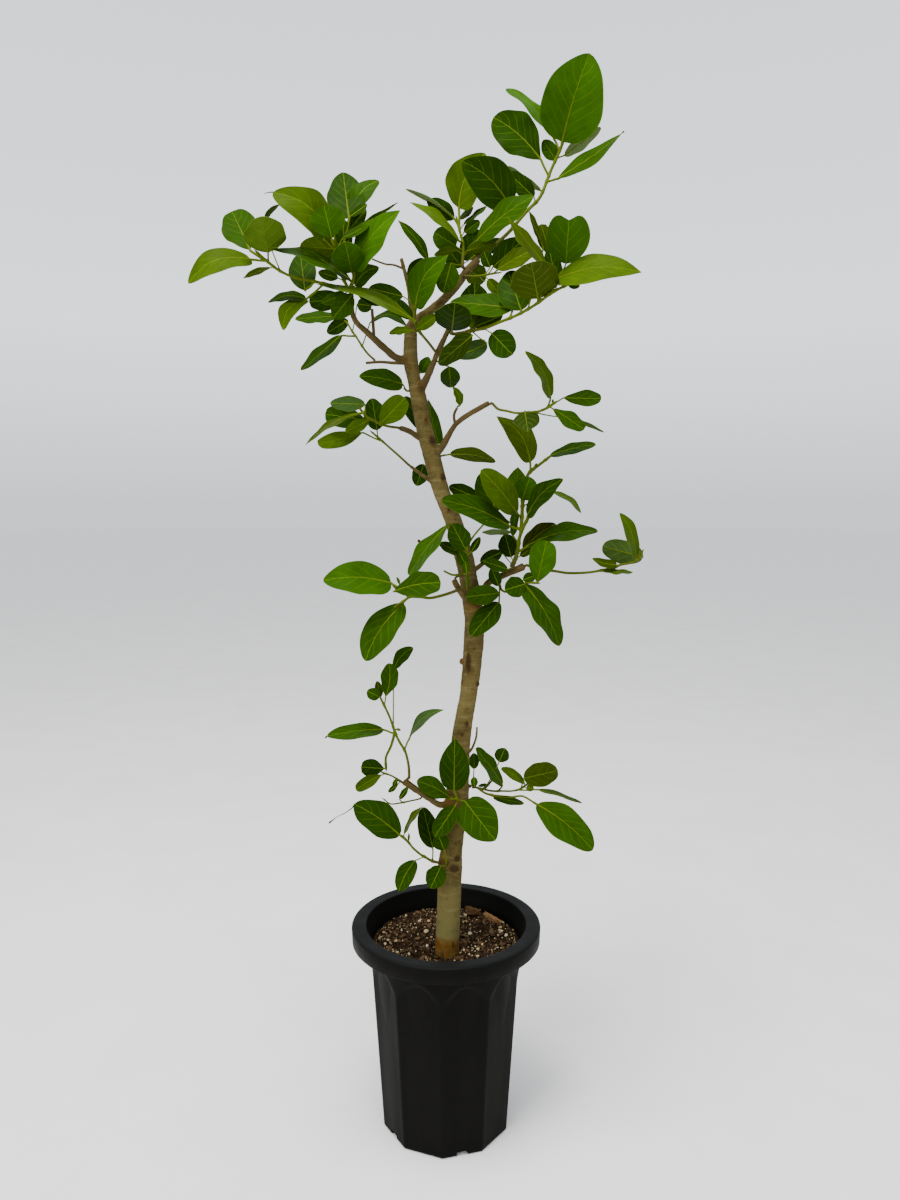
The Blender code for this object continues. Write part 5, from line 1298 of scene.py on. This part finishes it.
def facet_inset(angle, height):
    """How much of the radius a flat panel takes away, with the panel's arched top."""
    pitch = math.tau / POT_FACETS
    off_middle = (angle - FIRST_FACET + pitch / 2) % pitch - pitch / 2
    flat = 1 - math.cos(pitch / 2) / math.cos(off_middle)
    top = FACET_TOP + ARCH_RISE * math.cos(off_middle / pitch * math.pi)
    share = min(1.0, max(0.0, (top + ARCH_BLEND - height) / ARCH_BLEND))
    return flat * share * share * (3 - 2 * share)


def arc(radius, height, size, start, turn):
    """Points on a quarter circle of the profile."""
    return [(radius + size * math.cos(start + turn * step / LIP_STEPS),
             height + size * math.sin(start + turn * step / LIP_STEPS)) for step in range(LIP_STEPS + 1)]


def pot_profile():
    """The pot's section from the middle of its foot, over the rim and down to the middle of its floor."""
    skirt_foot = POT_HEIGHT - SKIRT_HEIGHT
    under_flange = POT_HEIGHT - WALL
    skirt_out, skirt_in = FLANGE_RADIUS - SKIRT_DRAFT, FLANGE_RADIUS - WALL - SKIRT_DRAFT
    rings = round((NECK_HEIGHT - POT_RING) / POT_RING)
    heights = [POT_RING + (NECK_HEIGHT - POT_RING) * index / rings for index in range(rings + 1)]
    half = math.pi / 2
    points = [(0.0, 0.0), (FOOT_RADIUS - FOOT_CHAMFER * 2, 0.0)]
    points += [(FOOT_RADIUS - FOOT_CHAMFER * share, height) for share, height in FOOT_ROUNDING]
    points += [(FOOT_RADIUS + BODY_SLOPE * height, height) for height in heights]
    points += [
        (OPENING_RADIUS - COLLAR_TAPER, COLLAR_HEIGHT),
        (OPENING_RADIUS + WALL, under_flange),
        (FLANGE_RADIUS - WALL, under_flange),
        (skirt_in, skirt_foot + SKIRT_ROUNDING),
        (skirt_in + SKIRT_ROUNDING, skirt_foot),
        (skirt_out - SKIRT_ROUNDING, skirt_foot),
        (skirt_out, skirt_foot + SKIRT_ROUNDING),
        (FLANGE_RADIUS - SKIRT_DRAFT * 0.5, POT_HEIGHT - SKIRT_HEIGHT / 2),
    ]
    points += arc(FLANGE_RADIUS - LIP_RADIUS * 2, POT_HEIGHT - LIP_RADIUS * 2, LIP_RADIUS * 2, 0.0, half)
    points += [(FLANGE_RADIUS - aside, POT_HEIGHT - below) for aside, below in FLANGE_DIP]
    points += arc(OPENING_RADIUS + LIP_RADIUS, POT_HEIGHT - LIP_RADIUS, LIP_RADIUS, half, half)
    points += [
        (OPENING_RADIUS - WALL - COLLAR_TAPER, COLLAR_HEIGHT),
        (INNER_NECK, NECK_HEIGHT),
        (soil_radius(INNER_HEIGHT) + SOIL_INSIDE, INNER_HEIGHT),
        (INNER_FOOT, FLOOR),
        (0.0, FLOOR),
    ]
    return points


def add_pot(made):
    """The pot, turned from its profile, with flat panels pressed in and the drainage notches cut."""
    bm = bmesh.new()
    previous = None
    for radius, height in pot_profile():
        vertex = bm.verts.new((radius, 0.0, height))
        if previous:
            bm.edges.new((previous, vertex))
        previous = vertex
    bmesh.ops.spin(bm, geom=bm.verts[:] + bm.edges[:], axis=(0, 0, 1), cent=(0, 0, 0), dvec=(0, 0, 0),
                   angle=math.tau, steps=POT_STEPS, use_merge=True)
    bmesh.ops.remove_doubles(bm, verts=bm.verts, dist=WELD)
    first_corner = FIRST_FACET + math.pi / POT_FACETS
    for vertex in bm.verts:
        x, y, z = vertex.co
        radius = math.hypot(x, y)
        from_front = math.atan2(y, x) + first_corner
        outside = FOOT_RADIUS + BODY_SLOPE * z - FOOT_CHAMFER * 2 - CLEAR
        if radius > outside and z < NECK_HEIGHT + CLEAR:
            radius *= 1 - facet_inset(from_front, z)
        vertex.co = (radius * math.sin(from_front), -radius * math.cos(from_front), z)
    bmesh.ops.recalc_face_normals(bm, faces=bm.faces)
    pot = add_object("pot_fine", as_mesh(bm, "pot_fine"))
    length = NOTCH_DEPTH + OVERSHOOT
    reach = FOOT_RADIUS * math.cos(math.pi / POT_FACETS) - NOTCH_DEPTH + length / 2
    for index in range(NOTCHES):
        from_front = FIRST_FACET + index * math.tau / NOTCHES
        bm = bmesh.new()
        bmesh.ops.create_cube(bm, size=1.0)
        notch = add_object("notch", as_mesh(bm, "notch"))
        notch.location = (reach * math.sin(from_front), -reach * math.cos(from_front),
                          (NOTCH_HEIGHT - OVERSHOOT) / 2)
        notch.scale = (NOTCH_WIDTH, length, NOTCH_HEIGHT + OVERSHOOT)
        notch.rotation_euler.z = from_front
        knife = pot.modifiers.new("cut", "BOOLEAN")
        knife.operation = "DIFFERENCE"
        knife.object = notch
        depsgraph = bpy.context.evaluated_depsgraph_get()
        pot.data = bpy.data.meshes.new_from_object(pot.evaluated_get(depsgraph))
        pot.modifiers.clear()
        bpy.data.objects.remove(notch, do_unlink=True)
    pot.data.materials.clear()
    pot.data.materials.append(made)
    pot.data.shade_smooth()
    pot.data.set_sharp_from_angle(angle=SHARP)
    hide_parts("pot")
    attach(pot, "root")


# Materials

class Paint:
    """The nodes of a material or of the world, with short ways to add and join them."""

    def __init__(self, made, shader="Principled BSDF"):
        made.use_nodes = True
        self.made = made
        self.tree = made.node_tree
        self.shader = self.tree.nodes[shader]

    def node(self, kind, inputs=(), **settings):
        added = self.tree.nodes.new(kind)
        for key, value in settings.items():
            setattr(added, key, value)
        for name, value in dict(inputs).items():
            self.feed(added.inputs[name], value)
        return added

    def feed(self, socket, value):
        if isinstance(value, bpy.types.NodeSocket):
            self.tree.links.new(value, socket)
        elif isinstance(value, tuple) and len(value) == 3 and socket.type == "RGBA":
            socket.default_value = (*value, 1.0)
        else:
            socket.default_value = value

    def sum(self, operation, first, second=0.0, third=0.0):
        added = self.node("ShaderNodeMath", operation=operation)
        for socket, value in zip(added.inputs, (first, second, third)):
            self.feed(socket, value)
        return added.outputs[0]

    def times(self, first, second):
        return self.sum("MULTIPLY", first, second)

    def mix(self, share, first, second, blend="MIX"):
        added = self.node("ShaderNodeMix", data_type="RGBA", blend_type=blend)
        for socket, value in zip((added.inputs["Factor"], *added.inputs[6:8]), (share, first, second)):
            self.feed(socket, value)
        return added.outputs[2]

    def cover(self, colour, mask, share, tone):
        """The colour with a share of a tone laid over it where the mask is."""
        return self.mix(self.times(mask, share), colour, tone)

    def range(self, value, low, high, new_low=0.0, new_high=1.0):
        added = self.node("ShaderNodeMapRange")
        for socket, number in zip(added.inputs, (value, low, high, new_low, new_high)):
            self.feed(socket, number)
        return added.outputs[0]

    def place(self, stretch=None):
        where = self.node("ShaderNodeTexCoord").outputs["Object"]
        if stretch:
            where = self.node("ShaderNodeMapping", {"Vector": where, "Scale": stretch}).outputs[0]
        return where

    def split(self, place):
        return self.node("ShaderNodeSeparateXYZ", {"Vector": place}).outputs

    def grain(self, scale, detail=4.0, roughness=0.55, stretch=None):
        return self.node("ShaderNodeTexNoise", {"Vector": self.place(stretch), "Scale": scale, "Detail": detail,
                                                "Roughness": roughness}).outputs["Fac"]

    def specks(self, scale, full, none):
        """Round specks that are full within one share of a cell and gone at the other."""
        cells = self.node("ShaderNodeTexVoronoi", {"Vector": self.place(), "Scale": scale})
        return self.range(cells.outputs["Distance"], full, none, 1.0, 0.0)

    def tone(self, name):
        return self.node("ShaderNodeVertexColor", layer_name=name).outputs["Color"]

    def value(self, name):
        return self.node("ShaderNodeAttribute", attribute_name=name).outputs["Fac"]

    def finish(self, colour, roughness, height, relief, specular):
        """The material itself. relief: how strong and how deep the height is."""
        bump = self.node("ShaderNodeBump", {"Height": height, "Strength": relief[0], "Distance": relief[1]})
        values = (colour, roughness, specular, bump.outputs[0])
        for name, value in zip(("Base Color", "Roughness", "Specular IOR Level", "Normal"), values):
            self.feed(self.shader.inputs[name], value)
        return self.made


def material(name):
    return Paint(bpy.data.materials.new(name))


def vein_masks(paint):
    """Masks of the midrib, the side veins and the margin, from the blade's own coordinates."""
    across, share, _ = paint.split(paint.node("ShaderNodeUVMap", uv_map="UVMap").outputs[0])
    away = paint.sum("ABSOLUTE", paint.sum("MULTIPLY_ADD", across, 2.0, -1.0))
    right = paint.times(paint.sum("GREATER_THAN", across, 0.5), VEIN_OFFSET)
    slope = paint.sum("MULTIPLY_ADD", share, VEIN_SLANT[1] - VEIN_SLANT[0], VEIN_SLANT[0])
    slant = paint.times(paint.sum("POWER", away, VEIN_CURVE), slope)
    phase = paint.sum("MULTIPLY_ADD", paint.sum("SUBTRACT", share, slant), paint.value("veins"), right)
    off = paint.sum("SUBTRACT", paint.sum("FRACT", phase), 0.5)
    line = paint.sum("EXPONENT", paint.times(paint.times(off, off), -1 / VEIN_LINE ** 2))
    line = paint.times(line, paint.range(away, *VEIN_FADE, 1.0, 0.0))
    thin = paint.sum("MULTIPLY_ADD", share, -MIDRIB_TAPER, 1.0)
    rib = paint.range(paint.sum("DIVIDE", paint.value("aside"), thin), *MIDRIB_EDGE, 1.0, 0.0)
    return rib, line, paint.range(away, *MARGIN)


def leaf_material(name, under):
    veins, vein_share, rough, shine, vein_relief = UNDER_LOOKS if under else UPPER_LOOKS
    paint = material(name)
    rib, line, margin = vein_masks(paint)
    mottle = paint.range(paint.grain(*MOTTLE_NOISE), *WIDE, 1 - MOTTLE, 1 + MOTTLE)
    tone = paint.mix(1.0, paint.tone("tone"), mottle, "MULTIPLY")
    if under:
        tone = paint.mix(UNDER_PALE, tone, UNDER_TONE)
    for mask, share in ((line, vein_share), (rib, RIB_SHARE), (margin, MARGIN_SHARE)):
        tone = paint.cover(tone, mask, share, veins)
    net = paint.node("ShaderNodeTexVoronoi", {"Vector": paint.place(), "Scale": NET_SCALE}).outputs["Distance"]
    height = paint.sum("ADD", paint.times(net, NET_RELIEF), paint.times(line, vein_relief))
    return paint.finish(tone, paint.range(paint.grain(*GLOSS_NOISE), *WIDE, *rough), height, LEAF_RELIEF, shine)


def stem_material():
    paint = material("green_stem")
    streaks = paint.range(paint.grain(*STEM_STREAKS), *NARROW, 0.0, STREAK_SHARE)
    colour = paint.mix(streaks, paint.tone("tone"), STEM_STREAK)
    return paint.finish(colour, STEM_ROUGHNESS, paint.grain(*STEM_GRAIN), STEM_RELIEF, WOOD_SHINE)


def bark_material():
    paint = material("bark")
    dark, orange, brown = paint.node("ShaderNodeSeparateColor", {"Color": paint.tone("stain")}).outputs
    ragged = paint.sum("MULTIPLY_ADD", paint.grain(*STAIN_NOISE), 0.5, -0.25)
    dark = paint.range(paint.sum("ADD", dark, paint.times(ragged, dark)), *DARK_FROM)
    up = paint.split(paint.node("ShaderNodeNewGeometry").outputs["Position"])["Z"]
    specks = paint.specks(*LENTICELS)
    twig = paint.mix(paint.range(paint.grain(*TWIG_NOISE), *NARROW), *TWIG_TONES)
    colour = paint.mix(paint.range(paint.grain(*BROAD_BARK), *NARROW), BARK_TONES[0], BARK_TONES[1])
    # The lighter tone low on the trunk is partly its greenish grey and partly painted light against the pot's shade
    for mask, share, tone in (
            (paint.range(paint.grain(*PATCHES), *PATCH_RANGE), 0.6, BARK_TONES[2]),
            (paint.range(paint.grain(*BANDS), *BAND_RANGE), 0.5, BARK_TONES[3]),
            (specks, 0.25, BARK_TONES[4]), (paint.range(up, *FOOT_TINT_AND_LIGHT_REACH, 1.0, 0.0), 0.75, FOOT_BARK_AND_LIGHT),
            (brown, 0.65, twig), (orange, 0.9, ORANGE_BARK), (dark, 0.9, DARK_BARK)):
        colour = paint.cover(colour, mask, share, tone)
    fine = paint.grain(*FINE_BARK)
    wrinkles = paint.grain(*WRINKLES)
    height = paint.sum("ADD", paint.times(fine, 0.5), paint.times(wrinkles, 0.8))
    height = paint.sum("ADD", height, paint.times(specks, 0.25))
    return paint.finish(colour, paint.range(fine, *WIDE, *BARK_ROUGHNESS), height, BARK_RELIEF, WOOD_SHINE)


def plastic_material():
    paint = material("black_plastic")
    up = paint.split(paint.node("ShaderNodeNewGeometry").outputs["Normal"])["Z"]
    dust = paint.range(paint.grain(*DUST_NOISE), *DUST_RANGE)
    colour = paint.cover(PLASTIC_TONES_AND_HIGHLIGHT[0], dust, 0.5, PLASTIC_TONES_AND_HIGHLIGHT[1])
    # Faces turned up get a lighter bluish tone: a painted highlight of the sky
    colour = paint.cover(colour, paint.range(up, *UP_FACES_HIGHLIGHT), 0.75, PLASTIC_TONES_AND_HIGHLIGHT[2])
    rare = paint.range(paint.grain(*SPECK_NOISE), *SPECK_RANGE)
    colour = paint.cover(colour, paint.times(paint.specks(*DUST_SPECKS), rare), 0.35, DUST_TONE)
    streak = paint.grain(*PLASTIC_STREAKS)
    return paint.finish(colour, paint.range(streak, *WIDE, *PLASTIC_ROUGHNESS), paint.grain(*PLASTIC_GRAIN),
                        PLASTIC_RELIEF, SOIL_SHINE)


def soil_material():
    paint = material("potting_soil")
    colour = paint.mix(paint.range(paint.grain(*BROAD_SOIL), *NARROW), *SOIL_TONES[:2])
    colour = paint.cover(colour, paint.specks(*SOIL_BITS), 0.5, SOIL_TONES[2])
    return paint.finish(colour, SOIL_ROUGHNESS, paint.grain(*FINE_SOIL), SOIL_RELIEF, SOIL_SHINE)


def grain_material():
    paint = material("soil_grain")
    patches = paint.range(paint.grain(*GRAIN_PATCHES), *GRAIN_PATCH_RANGE)
    colour = paint.mix(patches, paint.tone("tone"), SOIL_TONES[0])
    return paint.finish(colour, CRUMB_ROUGHNESS, paint.grain(*FINE_GRAIN), GRAIN_RELIEF, GRAIN_SHINE)


def chip_material(name, tones):
    paint = material(name)
    layers = paint.range(paint.grain(*CHIP_LAYERS), *NARROW)
    return paint.finish(paint.mix(layers, *tones), CRUMB_ROUGHNESS, paint.grain(*FINE_BARK), CHIP_RELIEF,
                        GRAIN_SHINE)


def floor_material():
    paint = material("floor")
    tone = paint.mix(paint.range(paint.grain(*FLOOR_NOISE), *FLOOR_RANGE), *FLOOR_TONES)
    for name, value in (("Base Color", tone), ("Roughness", FLOOR_ROUGHNESS), ("Specular IOR Level", FLOOR_SHINE)):
        paint.feed(paint.shader.inputs[name], value)
    return paint.made


# Camera, floor and light

def add_camera():
    data = bpy.data.cameras.new("camera")
    data.sensor_width = SENSOR
    data.lens = SENSOR * FOCAL / PICTURE_HEIGHT
    camera = bpy.data.objects.new("camera", data)
    camera.location = EYE
    camera.rotation_euler = (math.pi / 2 - PITCH_DOWN, 0.0, 0.0)
    bpy.context.scene.collection.objects.link(camera)
    bpy.context.scene.camera = camera


def add_light(name, size, power, place, aim, colour):
    data = bpy.data.lights.new(name, "AREA")
    data.shape = "DISK"
    data.size = size
    data.energy = power
    data.color = colour
    light = bpy.data.objects.new(name, data)
    light.location = place
    light.rotation_euler = (Vector(aim) - Vector(place)).to_track_quat("-Z", "Y").to_euler()
    bpy.context.scene.collection.objects.link(light)


def add_stage():
    """The floor, the sky and the lights."""
    bm = bmesh.new()
    bmesh.ops.create_circle(bm, cap_ends=True, segments=96, radius=FLOOR_RADIUS)
    mesh = as_mesh(bm, "floor")
    mesh.materials.append(floor_material())
    floor = add_object("floor", mesh)
    floor.location.z = -0.2 * MM
    sky = Paint(bpy.data.worlds.new("studio"), "Background")
    up = sky.split(sky.node("ShaderNodeTexCoord").outputs["Generated"])["Z"]
    fade = sky.range(up, 0.0, 1.0, *SKY_STRENGTH)
    haze = sky.range(up, 0.0, HAZE_HEIGHT, *HAZE_STRENGTH)
    sky.feed(sky.shader.inputs["Color"], SKY_TONE)
    sky.feed(sky.shader.inputs["Strength"], sky.sum("MINIMUM", fade, haze))
    bpy.context.scene.world = sky.made
    for light in LIGHTS:
        add_light(*light)


def main():
    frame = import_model()
    wood_mesh = frame["nodes"]["trunk"].data
    wood = BVHTree.FromPolygons([vertex.co for vertex in wood_mesh.vertices],
                                [face.vertices[:] for face in wood_mesh.polygons])
    add_camera()
    add_stage()
    leaf_materials = [leaf_material("leaf_upper", False), leaf_material("leaf_under", True), stem_material()]
    for shoot in SHOOTS:
        add_shoot(shoot, wood, leaf_materials)
    add_trunk(bark_material())
    add_soil(soil_material())
    add_grains(grain_material())
    draw = random.Random(CHIP_SEED)
    for name, _, size, turn in CHIPS:
        add_chip(name, size, turn, draw)
    add_pot(plastic_material())


main()
